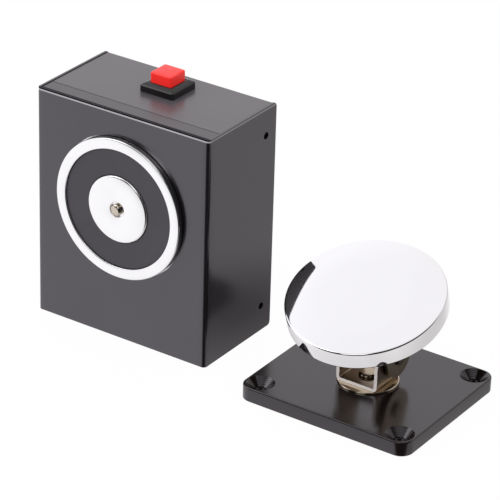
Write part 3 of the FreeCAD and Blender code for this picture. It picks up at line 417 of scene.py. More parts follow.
def painted(name, colour, roughness=0.21, peel_depth=0.0000006, gloss_level=1.0, painted_highlight_at=None, painted_gap_shade_at=None):
    """Sprayed paint: orange peel, slow changes of gloss and a little dust. Hard glossy lacquer mirrors
    more than plastic does, which the constants on the shader say. At a given height it has a thin pale
    line, a painted highlight that is fuller in front than at the side. In front of and above a given
    (y, z) it has painted shade: black metal, which mirrors next to nothing there."""
    tree, shader, place = start(name)
    shader.inputs["IOR"].default_value = PAINT_IOR
    shader.inputs["Specular IOR Level"].default_value = gloss_level
    shader.inputs["Specular Tint"].default_value = PAINT_TINT
    skin = use(tree, PAINT_SKIN, Vector=place, Size=900.0)
    smudge = use(tree, HANDLING, Vector=place, Size=35.0)["Mask"]
    speck = use(tree, DUST, Vector=place, Amount=0.25)["Mask"]
    paler = tuple(min(1.0, c * 1.06 + 0.002) for c in colour)
    tone = colour_mix(tree, smudge, (*colour, 1), (*paler, 1))
    # A painted highlight: a thin pale line at the given height, fuller in front than at the side.
    if painted_highlight_at is not None:
        axes = node(tree, "ShaderNodeSeparateXYZ", Vector=place).outputs
        above = arithmetic(tree, "ABSOLUTE", arithmetic(tree, "SUBTRACT", axes["Z"], painted_highlight_at))
        edge = stretch(tree, above, LINE_HALF, LINE_END, 1.0, 0.0)
        front = stretch(tree, axes["Y"], *HIGHLIGHT_FADES, 1.0, 0.45)
        tone = colour_mix(tree, product(tree, edge, front), tone, PAINTED_HIGHLIGHT_GREY)
    tone = colour_mix(tree, speck, tone, DUST_TONE)
    # Painted shade: black metal that mirrors next to nothing, for the gap behind the cover's top edge.
    if painted_gap_shade_at is not None:
        axes = node(tree, "ShaderNodeSeparateXYZ", Vector=place).outputs
        y, z = painted_gap_shade_at
        gap_shade = product(tree, stretch(tree, axes["Y"], y - 0.0004, y, 1.0, 0.0),
                      stretch(tree, axes["Z"], z - 0.0001, z, 0.0, 1.0))
        tone = colour_mix(tree, gap_shade, tone, GAP_SHADE_BLACK)
        fill(tree, shader.inputs["Metallic"], gap_shade)
    fill(tree, shader.inputs["Base Color"], tone)
    gloss = arithmetic(tree, "MULTIPLY_ADD", skin["Gloss Change"], 0.02, roughness)
    fill(tree, shader.inputs["Roughness"], arithmetic(tree, "MULTIPLY_ADD", smudge, 0.03, gloss))
    ripple(tree, shader, skin["Height"], peel_depth)


def moulded(name, colour, roughness, grain_depth=0.000002):
    """Moulded plastic or rubber: fine grain, and smudges that change both tone and gloss."""
    tree, shader, place = start(name)
    skin = use(tree, PAINT_SKIN, Vector=place, Size=2200.0)
    smudge = use(tree, HANDLING, Vector=place, Size=60.0)["Mask"]
    paler = tuple(min(1.0, c * 1.10 + 0.003) for c in colour)
    fill(tree, shader.inputs["Base Color"], colour_mix(tree, smudge, (*colour, 1), (*paler, 1)))
    fill(tree, shader.inputs["Roughness"], arithmetic(tree, "MULTIPLY_ADD", smudge, 0.08, roughness))
    ripple(tree, shader, skin["Height"], grain_depth)


print("paint and plastic ready")


# %% Metal
CUT_EDGE_HIGHLIGHT, LEFT_DARK = (1.0, 0.93, 0.90, 1), (0.03, 0.03, 0.03, 1)


def plated(name, colour, roughness, centre=(0, 0, 0), turn=(0, 0, 0), rings=0.0, ring_depth=0.0000006,
           marks=0.05, highlight_edges_along=None, dull=None):
    """Plated metal. With rings above 0 it is turned about the axis through centre, turned from Z by turn.
    Where the surface faces either way along the given cut-edge direction it is bare cut metal, painted matt and
    pale as a highlight, and where it faces along the dull one it was left dark."""
    tree, shader, place = start(name)
    normal = place.node.outputs["Normal"]
    shader.inputs["Metallic"].default_value = 1.0
    smudge = use(tree, HANDLING, Vector=place, Size=55.0)["Mask"]
    darker = tuple(c * (1.0 - marks) for c in colour)
    tone = colour_mix(tree, smudge, (*colour, 1), (*darker, 1))
    level = arithmetic(tree, "MULTIPLY_ADD", smudge, marks, roughness)
    if highlight_edges_along is not None:
        # Painted highlight: faces along the given axis are the bare cut edges, painted pale and matt for the light
        # they catch.
        cut = stretch(tree, arithmetic(tree, "ABSOLUTE", lean(tree, normal, highlight_edges_along)), 0.55, 0.90, 0.0, 1.0)
        tone = colour_mix(tree, cut, tone, CUT_EDGE_HIGHLIGHT)
        level = arithmetic(tree, "MULTIPLY_ADD", cut, 0.30, level)
        fill(tree, shader.inputs["Metallic"], stretch(tree, cut, 0.0, 1.0, 1.0, 0.08))
    if dull is not None:
        under = stretch(tree, lean(tree, normal, dull), 0.80, 0.95, 0.0, 1.0)
        tone = colour_mix(tree, under, tone, LEFT_DARK)
        level = arithmetic(tree, "MULTIPLY_ADD", under, 0.40, level)
    fill(tree, shader.inputs["Base Color"], tone)
    if rings:
        upright = node(tree, "ShaderNodeMapping", {"vector_type": "TEXTURE"}, Vector=place, Location=centre,
                       Rotation=turn)
        grooves = use(tree, TURNED, Vector=upright.outputs[0], Per_Metre=rings)
        level = arithmetic(tree, "MULTIPLY_ADD", grooves["Mask"], marks * 0.5, level)
        ripple(tree, shader, grooves["Height"], ring_depth)
    else:
        skin = use(tree, PAINT_SKIN, Vector=place, Size=3000.0)
        ripple(tree, shader, skin["Height"], ring_depth)
    fill(tree, shader.inputs["Roughness"], level)


print("metal ready")

# %% [markdown]
# Everything below is placed by the solids: the case's box, the plate's box, and the hinge's
# place, which the model's joints give. The magnet's axis is the middle of its pot.

# %% Places taken from the frame
def middle(name):
    """The middle of a CAD node's box, in millimetres."""
    low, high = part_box(name)
    return np.array((low + high) / 2) / MM


def low_corner(name):
    return np.array(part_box(name)[0]) / MM


def high_corner(name):
    return np.array(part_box(name)[1]) / MM


joints = {joint["name"]: joint for joint in frame["joints"]}
CASE_LOW, CASE_HIGH = low_corner("front_cover"), high_corner("front_cover")
CASE_AT = (CASE_LOW + CASE_HIGH) / 2 * (1, 0, 0) + CASE_LOW * (0, 1, 1)
MAGNET = middle("magnet_pot") * (1, 0, 1) + CASE_LOW * (0, 1, 0)
PLATE_AT = middle("door_plate") * (1, 1, 0)
HINGE = np.array(joints["armature_tilt"]["pos_m"]) / MM
TILT = math.radians(18.6)
DISC_UP = np.array([0.0, -math.sin(TILT), math.cos(TILT)])
BUTTON = middle("button_cap") * (1, 1, 0)
for label, place in {"case": CASE_AT, "magnet": MAGNET, "plate": PLATE_AT, "hinge": HINGE}.items():
    print(label, place.round(2))

# %% [markdown]
# The record names a finish for every solid. Here each of those names gets its material, and so
# do a few places that look different from the rest of their slot: the cover and the frame's
# flange with painted shade for the gap between them, the back panel, painted lighter as painted
# light on the case's top, the plate, and the swivel's pieces, whose bracket under the disc is
# darkened partly as painted shade.

# %% The finishes
CASE_BLACK = (0.006, 0.004, 0.006)
# How far back and down the painted shade of the gap reaches on the cover and on the flange, how far below the top
# the painted highlight lies, and a height below the flange's top.
GAP_SHADE_ENDS, GAP_SHADE_DOWN, FLANGE_GAP_SHADE, HIGHLIGHT_DOWN, ANY_HEIGHT = 1.6, 0.45, 2.6, 0.85, 100.0
painted("case_paint", CASE_BLACK)
# The cover: a painted highlight along its top edge, and painted shade in the gap behind it.
painted("cover_paint", CASE_BLACK, painted_highlight_at=(CASE_HIGH[2] - HIGHLIGHT_DOWN) * MM,
        painted_gap_shade_at=((CASE_LOW[1] + GAP_SHADE_ENDS) * MM, (CASE_HIGH[2] - GAP_SHADE_DOWN) * MM))
# The flange: painted shade on its front strip, in the gap behind the cover.
painted("flange_paint", CASE_BLACK, painted_gap_shade_at=((CASE_LOW[1] + FLANGE_GAP_SHADE) * MM, ANY_HEIGHT * MM))
# The chassis forms the case's top: a lighter, less glossy copy of the case's black, painted light for the lit top.
painted("lit_top_paint", (0.080, 0.074, 0.082), 0.24, gloss_level=0.60)
painted("plate_paint", (0.007, 0.004, 0.004), 0.15, 0.0000004, 0.62)
plated("bright_steel", (1.0, 1.0, 1.0), 0.16, MAGNET * MM, (-math.pi / 2, 0, 0), 9000.0, 0.0000003, 0.02)
plated("disc_chrome", (0.975, 0.975, 0.985), 0.03, HINGE * MM, (TILT, 0, 0), 6000.0, 0.00000002, 0.004,
       dull=-DISC_UP)
# The bracket's steel is deep brown, partly its own tone and partly painted shade, as it sits under the disc.
plated("swivel_steel", (0.33, 0.26, 0.20), 0.24, marks=0.06, highlight_edges_along=(0, 1, 0))
plated("ear_steel", (0.58, 0.50, 0.38), 0.22, marks=0.06)
plated("rivet_steel", (0.42, 0.35, 0.26), 0.14, marks=0.06)
plated("washer_steel", (0.82, 0.71, 0.55), 0.16, marks=0.06)
plated("zinc", (0.70, 0.71, 0.73), 0.26)
plated("spring_steel", (0.52, 0.52, 0.53), 0.30)
plated("pin_brass", (0.62, 0.55, 0.46), 0.10)
plated("copper", (0.72, 0.36, 0.20), 0.35)
plated("contact_brass", (0.82, 0.66, 0.34), 0.25)
moulded("resin", (0.050, 0.044, 0.054), 0.50)
moulded("bobbin_plastic", (0.62, 0.58, 0.48), 0.50)
moulded("bezel_plastic", (0.006, 0.005, 0.006), 0.20)
moulded("button_red", (0.97, 0.020, 0.015), 0.25)
moulded("bush_rubber", (0.020, 0.020, 0.020), 0.60)
moulded("board", (0.015, 0.10, 0.03), 0.30)
moulded("terminal_plastic", (0.02, 0.14, 0.05), 0.40)
moulded("lead_red", (0.40, 0.01, 0.01), 0.45)
moulded("lead_black", (0.012, 0.012, 0.012), 0.45)
moulded("washer_plastic", (0.72, 0.70, 0.62), 0.50)
print(len(FINISHES), "finishes")

# %% [markdown]
# Nearly every visible piece is folded sheet or a turned part, so a few helpers make them all.
# A patch is a grid of points with the squares between them, worked out as whole arrays. Patches
# that meet share their edge points, and joining them makes one point of each pair, which closes
# the seams. A square that has shrunk to a triangle, as at a pole, becomes a triangle.

# %% Patches and how they join
OFF_THE_STEP = 0.0000317  # keeps round sizes away from the middle between two rounded ones


def patch(rows, loop_rows=False, loop_columns=False):
    """A grid of points (rows, columns, x y z) and the point numbers at each square's corners."""
    high, wide = rows.shape[:2]
    down, along = np.arange(high if loop_rows else high - 1), np.arange(wide if loop_columns else wide - 1)
    r, c = np.meshgrid(down, along, indexing="ij")
    next_r, next_c = (r + 1) % high, (c + 1) % wide
    corners = np.stack([r * wide + c, r * wide + next_c, next_r * wide + next_c, next_r * wide + c], -1)
    return rows.reshape(-1, rows.shape[-1]), corners.reshape(-1, 4)


def join(patches):
    """Puts patches together; points that agree to a ten-thousandth of a millimetre become one."""
    starts = np.cumsum([0] + [len(points) for points, _ in patches[:-1]])
    points = np.concatenate([points for points, _ in patches])
    squares = np.concatenate([corners + first for (_, corners), first in zip(patches, starts)])
    places = np.round(points + OFF_THE_STEP, 4)
    _, keep, same = np.unique(places, axis=0, return_index=True, return_inverse=True)
    squares = same.reshape(-1)[squares]
    used, squares = np.unique(squares, return_inverse=True)
    return points[keep][used], squares.reshape(-1, 4)


def turned_over(made):
    """The same patch seen from its other side."""
    points, squares = made
    return points, squares[:, ::-1]


print("patch helpers ready")

# %% [markdown]
# A finished piece is one mesh object. Its faces must point outwards: a closed body has its
# normals worked out again, and an open sheet is built facing the right way. The shading is
# smooth except at edges sharper than the crease angle.

# %% From patches to a piece
def make(name, patches, finish, body, stands_for=(), closed=True, crease=32):
    """Joins the patches, makes the object, and says what it rides on, which finish and which node it takes."""
    points, squares = join(patches)
    differ = squares != np.roll(squares, 1, axis=1)
    whole = squares[differ.all(axis=1)]
    shrunk = differ.sum(axis=1) == 3
    triangles = squares[shrunk][differ[shrunk]].reshape(-1, 3)
    mesh = bpy.data.meshes.new(name)
    mesh.from_pydata((points * MM).tolist(), [], whole.tolist() + triangles.tolist())
    if closed:
        work = bmesh.new()
        work.from_mesh(mesh)
        bmesh.ops.recalc_face_normals(work, faces=work.faces)
        work.to_mesh(mesh)
        work.free()
    mesh.polygons.foreach_set("use_smooth", np.ones(len(mesh.polygons), dtype=bool))
    mesh.set_sharp_from_angle(angle=math.radians(crease))
    mesh.materials.append(FINISHES[finish])
    item = put(name, mesh)
    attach(item, body)
    if stands_for:
        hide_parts(*stands_for)
    print("%-18s %6d points %6d faces" % (name, len(mesh.vertices), len(mesh.polygons)))
    return item


def thicken(item, thickness, edge, segments=2):
    """A sheet gets its thickness on its inner side, and then its raw edges are broken."""
    solid = item.modifiers.new("sheet", "SOLIDIFY")
    solid.thickness, solid.offset, solid.use_even_offset = thickness * MM, -1.0, True
    bevel = item.modifiers.new("broken_edges", "BEVEL")
    bevel.width, bevel.segments, bevel.angle_limit = edge * MM, segments, math.radians(50)
    bevel.limit_method, bevel.harden_normals = "ANGLE", True


print("piece helpers ready")

# %% [markdown]
# A turned part needs only its profile: a line of (radius, distance) points that is spun round
# an axis. Real turned edges are never sharp, so each corner of the profile is softened into a
# small arc first. A rational curve with the right weight is a true circle arc at any angle.

# %% Soft corners and turning
def soften(corners, radii, steps=5):
    """Corner P between neighbours A and C becomes the arc that starts and ends radius / tan(half its angle)
    from P: ((1-t)^2 P0 + 2 w t (1-t) P + t^2 P2) / ((1-t)^2 + 2 w t (1-t) + t^2), w = sin(half its angle)."""
    p = np.asarray(corners, dtype=float)
    to_a, to_c = np.roll(p, 1, 0) - p, np.roll(p, -1, 0) - p
    to_a /= np.linalg.norm(to_a, axis=1, keepdims=True) + 1e-12
    to_c /= np.linalg.norm(to_c, axis=1, keepdims=True) + 1e-12
    half = np.arccos(np.clip((to_a * to_c).sum(1), -1, 1)) / 2
    reach = (np.asarray(radii, dtype=float) / np.tan(half))[:, None]
    t = np.linspace(0, 1, steps + 1)[None, :, None]
    weight = np.sin(half)[:, None, None]
    first, last = (p + to_a * reach)[:, None], (p + to_c * reach)[:, None]
    share = 2 * weight * t * (1 - t)
    arcs = ((1 - t) ** 2 * first + share * p[:, None] + t ** 2 * last) / ((1 - t) ** 2 + share + t ** 2)
    line = arcs.reshape(-1, p.shape[1])
    moved = np.linalg.norm(np.diff(line, axis=0), axis=1) > 1e-7
    return line[np.concatenate([[True], moved])]


def lathe(profile, centre, axis, turns=160, closed=True):
    """Each (radius, distance) point becomes the circle centre + distance * axis + radius * (cos a, sin a)."""
    profile, axis = np.asarray(profile, dtype=float), np.asarray(axis, dtype=float)
    across = np.cross(axis, (0, 0, 1) if abs(axis[2]) < 0.9 else (1, 0, 0))
    across /= np.linalg.norm(across)
    other = np.cross(axis, across)
    a = np.arange(turns) / turns * 2 * np.pi
    spokes = np.cos(a)[:, None] * across + np.sin(a)[:, None] * other
    rows = np.asarray(centre) + profile[:, None, 1:] * axis + profile[:, None, :1] * spokes[None]
    return patch(rows, loop_rows=closed, loop_columns=True)


print("soft corner example:", soften([(0, 0), (2, 0), (2, 1), (0, 1)], [0, 0.2, 0.2, 0], 2).round(3).tolist())

# %% [markdown]
# Sheet and plate pieces start as a flat blank: a grid of lines, with a square tile left out
# round each hole. The tile is filled by straight spokes from the hole's rim to the tile's edge
# points, so the hole is round and its tile still meets the grid point for point.

# %% A flat blank with round holes
def tile_edge(us, vs):
    """The grid points round a rectangle of lines, once round."""
    one_u, one_v = np.ones(len(us) - 1), np.ones(len(vs) - 1)
    u = np.concatenate([us[:-1], us[-1] * one_v, us[:0:-1], us[0] * one_v])
    v = np.concatenate([vs[0] * one_u, vs[:-1], vs[-1] * one_u, vs[:0:-1]])
    return np.stack([u, v], -1)


def between(marks, ends):
    """The marks from one end to the other, with both ends."""
    return marks[(marks > ends[0] - 1e-4) & (marks < ends[1] + 1e-4)]


def spokes_of(us, vs, hole, shape=None):
    """A hole's tile edge, and the unit direction from the hole's middle to each of its points."""
    centre, across, along, _ = hole
    edge = tile_edge(between(us, across), between(vs, along))
    edge = edge if shape is None else shape(edge)
    out = edge - np.array(centre, dtype=float)
    return edge, out / np.linalg.norm(out, axis=1, keepdims=True)


def blank(us, vs, holes=(), rings=5, shape=None):
    """The grid on the lines us and vs, moved by shape if given, and for each hole (middle, the tile's two
    u, its two v, radius) a tile of spokes: rim + t * (edge - rim), for t from 0 to 1."""
    points, squares = patch(np.stack(np.meshgrid(us, vs, indexing="ij"), -1))
    points = points if shape is None else shape(points)
    mid_u, mid_v = (us[1:] + us[:-1]) / 2, (vs[1:] + vs[:-1]) / 2
    keep = np.ones((len(mid_u), len(mid_v)), dtype=bool)
    patches = []
    for hole in holes:
        centre, across, along, radius = hole
        in_u, in_v = (mid_u > across[0]) & (mid_u < across[1]), (mid_v > along[0]) & (mid_v < along[1])
        keep &= ~(in_u[:, None] & in_v[None])
        edge, out = spokes_of(us, vs, hole, shape)
        rim = np.array(centre, dtype=float) + radius * out
        t = (np.linspace(0, 1, rings + 1) ** 1.3)[:, None, None]
        patches.append(patch(rim + (edge - rim) * t, loop_columns=True))
    return join([(points, squares[keep.reshape(-1)])] + patches)


def square_tile(u, v, half):
    """A hole's middle and the square tile round it, as blank wants them."""
    return (u, v), (u - half, u + half), (v - half, v + half)


def merge(*rows, digits=5):
    """All marks in order, where marks that agree to so many digits count once."""
    return np.unique(np.round(np.concatenate(rows), digits))


def lines(*marks, step=4.0):
    """Grid lines through all the marks, with even steps of at most step between them."""
    marks = merge(marks)
    counts = np.maximum(1, np.ceil(np.diff(marks) / step - 1e-6).astype(int))
    runs = [np.linspace(a, b, n, endpoint=False) for a, b, n in zip(marks[:-1], marks[1:], counts)]
    return np.concatenate(runs + [marks[-1:]])


def round_corners(points, half_u, half_v, radius, radius_back=None):
    """The square corners of a grid become quarter circles: in the last radius of both ways, with s and t
    going from 0 to 1, u moves to s sqrt(1 - t t / 2) and v to t sqrt(1 - s s / 2)."""
    u, v = points[:, 0], points[:, 1]
    r = np.where(v < 0, radius, radius if radius_back is None else radius_back)
    s, t = np.clip((np.abs(u) - half_u + r) / r, 0, 1), np.clip((np.abs(v) - half_v + r) / r, 0, 1)
    new_u = np.sign(u) * (np.minimum(np.abs(u), half_u - r) + r * s * np.sqrt(1 - t * t / 2))
    new_v = np.sign(v) * (np.minimum(np.abs(v), half_v - r) + r * t * np.sqrt(1 - s * s / 2))
    return np.stack([new_u, new_v], -1)


example = lines(-5, -2, 2, 5, step=1)
print("blank example:", [len(a) for a in blank(example, example, [(*square_tile(0, 0, 2), 1)])])

# %% [markdown]
# The case's cover is one sheet of 1.2 mm steel, cut flat with its five holes and then folded
# twice, which is how it is made here as well. The flat blank's middle stays in front. Past the
# fold line a point travels round the bend, and beyond the bend it runs straight back along the
# side. Solidify gives the thickness and Bevel breaks the raw edges, which is what makes the thin
# bright line along the cover's top.

# %% The folded cover
COVER_BEND, COVER_T, EAR_ROUND = 1.8, 1.2, 2.0
COVER_HALF, COVER_DEEP, COVER_HIGH = (CASE_HIGH - CASE_LOW) * (0.5, 1, 1)
FLAT = COVER_HALF - COVER_BEND
BEND_LONG = COVER_BEND * math.pi / 2
BLANK_HALF = FLAT + BEND_LONG + COVER_DEEP - COVER_BEND
MAGNET_UP = MAGNET[2] - CASE_LOW[2]
SIDE_HOLE_DEEP, SIDE_HOLES_UP, SIDE_HOLE_R, RING_HOLE_R = 43.3, (12.5, 96.5), 1.65, 33.6
RING_TILE, SIDE_TILE, FINE_END = 36.5, 3.5, 2.0


def fold_cover(points):
    """(u, v) on the blank to x, y, z: flat in front, then a quarter circle, then straight back."""
    u, v = np.abs(points[:, 0]), points[:, 1]
    angle = np.clip(u - FLAT, 0, BEND_LONG) / COVER_BEND
    x = np.minimum(u, FLAT) + COVER_BEND * np.sin(angle)
    y = COVER_BEND * (1 - np.cos(angle)) + np.maximum(u - FLAT - BEND_LONG, 0)
    return np.stack([np.sign(points[:, 0]) * x, y, v], -1) + CASE_AT


def spread(middle, half, count):
    """Even marks from half below the middle to half above it."""
    return np.linspace(middle - half, middle + half, count)


hole_u = FLAT + BEND_LONG + SIDE_HOLE_DEEP - COVER_BEND
bend_lines = FLAT + BEND_LONG * np.linspace(0, 1, 9)
half_lines = lines(RING_TILE, *bend_lines, *spread(hole_u, SIDE_TILE, 3), BLANK_HALF - EAR_ROUND, BLANK_HALF,
                   step=3.0)
half_lines = merge(half_lines, spread(hole_u, SIDE_TILE, 13), BLANK_HALF - np.linspace(0, EAR_ROUND, 5))
us = merge(-half_lines, half_lines, spread(0, RING_TILE, 33))
ends = np.linspace(0, FINE_END, 5)
vs = merge(ends, COVER_HIGH - ends, spread(MAGNET_UP, RING_TILE, 33),
           lines(FINE_END, MAGNET_UP - RING_TILE, step=3), *[spread(h, SIDE_TILE, 13) for h in SIDE_HOLES_UP],
           digits=4)
holes = [(*square_tile(0, MAGNET_UP, RING_TILE), RING_HOLE_R)]
holes += [(*square_tile(side * hole_u, h, SIDE_TILE), SIDE_HOLE_R) for side in (-1, 1) for h in SIDE_HOLES_UP]
flat_points, flat_squares = blank(us, vs, holes)
half_up = (0, COVER_HIGH / 2)
rounded = round_corners(flat_points - half_up, BLANK_HALF, COVER_HIGH / 2, EAR_ROUND) + half_up
cover = make("folded_cover", [turned_over((fold_cover(rounded), flat_squares))], "cover_paint", "units",
             ("front_cover",), closed=False)
thicken(cover, COVER_T, 0.5, 4)

# %% [markdown]
# The magnet is a turned pot with a turned pole in its middle. Both faces lie in one plane, three
# millimetres in front of the cover, and black resin fills the ring between them, a little lower.
# The pole's middle has a sunk seat with the sprung brass pin that pushes the armature off.

# %% The magnet's pot and pole
FORE = -3.0
TO_BACK = (0, 1, 0)
pot_profile = soften([(28.2, FORE), (33.2, FORE), (33.2, 2.4), (40.0, 2.4), (40.0, 4.9), (33.2, 4.9),
                      (33.2, 20.0), (8.03, 20.0), (8.03, 15.0), (28.2, 15.0)],
                     [0.35, 0.55, 0, 0.3, 0.3, 0, 0.5, 0, 0, 0])
make("turned_pot", [lathe(pot_profile, MAGNET, TO_BACK, 192)], "bright_steel", "units", ("magnet_pot",))
pole_profile = soften([(3.6, FORE), (15.8, FORE), (15.8, 15.0), (8.0, 15.0), (8.0, 25.5), (4.2, 25.5),
                       (4.2, 5.0), (2.65, 5.0), (2.65, FORE + 1.2), (3.6, FORE + 1.2)],
                      [0.3, 0.8, 0, 0, 0.4, 0, 0, 0, 0, 0])
make("turned_pole", [lathe(pole_profile, MAGNET, TO_BACK, 144)], "bright_steel", "units", ("centre_pole",))

# %% The resin and the pin
# The resin was poured and shrank as it set, so a fine groove runs along the steel on both sides:
# its face is flat for s between -0.945 and 0.945, and then falls by the square towards s = 1.
across = np.sin(np.linspace(-np.pi / 2, np.pi / 2, 61))
shrunk = np.clip((np.abs(across) - 0.945) / 0.055, 0, 1) ** 2
hollow = np.stack([22.0 + 6.17 * across, -2.2 + 0.9 * shrunk], -1)
resin_line = np.concatenate([hollow, [(28.17, 0.0), (15.83, 0.0)]])
make("poured_resin", [lathe(resin_line, MAGNET, TO_BACK, 144)], "resin", "units", ("resin_face",))
pin_line = soften([(0, -4.4), (2.6, -4.4), (2.6, 5.05), (3.9, 5.05), (3.9, 7.05), (1.6, 7.05), (1.6, 13.05),
                   (0, 13.05)], [0, 1.0, 0, 0.2, 0.2, 0, 0.2, 0])
make("brass_pin", [lathe(pin_line, MAGNET, TO_BACK, 72, closed=False)], "pin_brass", "pushoff",
     ("pushoff_pin",))

# %% [markdown]
# The release button is moulded. Its square parts are like turned ones, except that the profile
# is carried round a rounded square instead of a circle, so one more helper does both of them.
# The black bezel has a low upright side, a nearly flat sloping top and a deep square well, and
# the glossy red cap stands in the well.

# %% Carried round a square
def square_lathe(profile, centre, steps=6):
    """Each (half width, half depth, corner radius, height) row becomes a rounded rectangle: a corner's point
    is (half width - r, half depth - r) + r (cos a, sin a), mirrored into the four corners."""
    a = (np.linspace(0, np.pi / 2, steps + 1)[None] + np.pi / 2 * np.arange(4)[:, None]).reshape(-1)
    side_x, side_y = np.repeat([1, -1, -1, 1], steps + 1), np.repeat([1, 1, -1, -1], steps + 1)
    w, d, r, z = np.asarray(profile, dtype=float).T[:, :, None]
    rows = np.stack([side_x * (w - r) + r * np.cos(a), side_y * (d - r) + r * np.sin(a), z + 0 * a], -1)
    return patch(rows + np.asarray(centre), loop_columns=True)


def boxy(line, wide, deep, corner):
    """(inset, height) points to square_lathe's rows: the inset shrinks both halves and the corner radius."""
    inset, height = line.T
    radius = np.clip(corner - inset, 0.05, np.minimum(wide, deep) - inset)
    return np.stack([wide - inset, deep - inset, radius, height], -1)


PANEL, WELL, BARREL_FOOT = 109.6, 5.85, 109.6 - 18.6
BEZEL_LINE = soften([(0, PANEL), (0, PANEL + 2.7), (0.5, PANEL + 3.2), (2.5, PANEL + 4.2), (3.1, PANEL + 4.2),
                     (3.1, PANEL + 1.0), (3.1, BARREL_FOOT)], [0, 0.25, 0.3, 0.3, 0.12, 0, 0], 4)
bezel_rows = boxy(BEZEL_LINE, 8.95, 8.8, 1.0)
inside = BEZEL_LINE[:, 0] > 2.95
bezel_rows[inside, :3] = WELL, WELL, 0.3
barrel_rows = np.array([(WELL, WELL, 0.3, BARREL_FOOT), (6.75, 6.75, 0.3, BARREL_FOOT),
                        (6.75, 6.75, 0.3, PANEL), (8.95, 8.8, 1.0, PANEL)])
bezel_rows = np.concatenate([bezel_rows, barrel_rows])
make("moulded_bezel", [square_lathe(bezel_rows, BUTTON)], "bezel_plastic", "units", ("button_bezel",))
stem_foot, cap_top = low_corner("button_cap")[2], high_corner("button_cap")[2]
cap_foot = cap_top - 14.8
cap_line = soften([(5.6, cap_top), (0, cap_top), (0, cap_foot), (5.6, cap_foot)], [0, 0.75, 0.2, 0], 6)
stem_line = np.array([(0, stem_foot), (1.6, stem_foot), (1.6, cap_foot + 0.5), (0, cap_foot + 0.5)])
cap_patches = [square_lathe(boxy(cap_line, 5.65, 5.65, 1.1), BUTTON),
               lathe(stem_line, BUTTON, (0, 0, 1), 32, closed=False)]
make("red_cap", cap_patches, "button_red", "button", ("button_cap",))

# %% [markdown]
# The door plate is a thick steel plate with rounded corners and four countersunk holes. Its top
# and bottom are blanks with the same lines, so their outlines match point for point. The edge
# between them is a row of loops: each loop is the top's outline pushed outwards by some amount
# and set at its own height. The countersinks reach nearly to the edge, so each of them has a
# tile that ends at the plate's own outline.

# %% The door plate's lines
PLATE_HALF = (high_corner("door_plate") - low_corner("door_plate"))[:2] / 2
PLATE_T, PLATE_CORNER, PLATE_EDGE = 7.0, 6.0, 0.65
HOLE_X, HOLE_Y, SINK_R, BOLT_R, RIVET_R, RIVET_HEAD_R = 35.25, 30.5, 6.3, 2.75, 3.03, 6.5
FACE_HALF = PLATE_HALF - PLATE_EDGE


def plate_lines(half, hole):
    """Lines across the plate: fine near the rounded corners, coarser between, mirrored about the middle."""
    inner = lines(0, 7.2, hole - 7.0, step=2.0)
    outer = lines(hole - 7.0, half - PLATE_CORNER + PLATE_EDGE, half, step=0.7)
    return merge(-outer, -inner, inner, outer)


def plate_outline(points):
    return round_corners(points, *FACE_HALF, PLATE_CORNER - PLATE_EDGE)


plate_us, plate_vs = plate_lines(FACE_HALF[0], HOLE_X), plate_lines(FACE_HALF[1], HOLE_Y)
corner_tiles = [((sx * HOLE_X, sy * HOLE_Y), sorted((sx * (HOLE_X - 7), sx * FACE_HALF[0])),
                 sorted((sy * (HOLE_Y - 7), sy * FACE_HALF[1]))) for sx in (-1, 1) for sy in (-1, 1)]
middle_tile = ((0, 0), (-7.2, 7.2), (-7.2, 7.2))
print("plate lines", len(plate_us), "by", len(plate_vs))

# %% The door plate
def plate_face(z, sink, middle_radius):
    """The plate's face at height z as a patch, with round holes of the given radii."""
    holes = [(*tile, sink) for tile in corner_tiles] + [(*middle_tile, middle_radius)]
    points, squares = blank(plate_us, plate_vs, holes, shape=plate_outline)
    return np.concatenate([points, np.full((len(points), 1), z)], axis=1) + PLATE_AT, squares


def bore(tile, line):
    """The wall of a hole: each (radius, height) point of the line, carried round along the tile's spokes."""
    centre = np.array(tile[0], dtype=float)
    _, out = spokes_of(plate_us, plate_vs, (*tile, 1.0), plate_outline)
    line = np.asarray(line, dtype=float)
    flat = centre + line[:, None, :1] * out[None]
    rows = np.concatenate([flat, np.broadcast_to(line[:, None, 1:], (*flat.shape[:2], 1))], axis=2)
    return patch(rows + PLATE_AT, loop_columns=True)


def ridged(line, pitch, depth):
    """A line from the drill: fine points along it, pushed by depth * (1 - cos) of the way over the pitch."""
    way = np.concatenate([[0], np.cumsum(np.linalg.norm(np.diff(line, axis=0), axis=1))])
    at = np.linspace(0, way[-1], int(way[-1] / pitch * 8))
    fine = np.stack([np.interp(at, way, line[:, 0]), np.interp(at, way, line[:, 1])], -1)
    fade = np.clip(np.minimum(at, way[-1] - at) / pitch, 0, 1)
    fine[:, 0] += fade * depth * 0.5 * (1 - np.cos(2 * np.pi * at / pitch))
    return fine


outline = plate_outline(tile_edge(plate_us, plate_vs))
core = np.clip(outline, -FACE_HALF + PLATE_CORNER - PLATE_EDGE, FACE_HALF - PLATE_CORNER + PLATE_EDGE)
outward = (outline - core) / np.linalg.norm(outline - core, axis=1, keepdims=True)
edge_line = soften([(0, 0), (0.1, 0), (PLATE_EDGE, 0.4), (PLATE_EDGE, PLATE_T), (0, PLATE_T)],
                   [0, 0.08, 0.2, 0.64, 0], 7)
loops = np.concatenate([outline[None] + edge_line[:, None, :1] * outward[None],
                        np.broadcast_to(edge_line[:, None, 1:], (len(edge_line), len(outline), 1))], axis=2)
sink_line = ridged(np.array([(SINK_R, PLATE_T), (BOLT_R, PLATE_T - SINK_R + BOLT_R), (BOLT_R, 0)]), 0.9, 0.035)
rivet_line = soften([(RIVET_R, PLATE_T), (RIVET_R, 2.6), (RIVET_HEAD_R, 2.6), (RIVET_HEAD_R, 0)],
                    [0, 0, 0.3, 0])
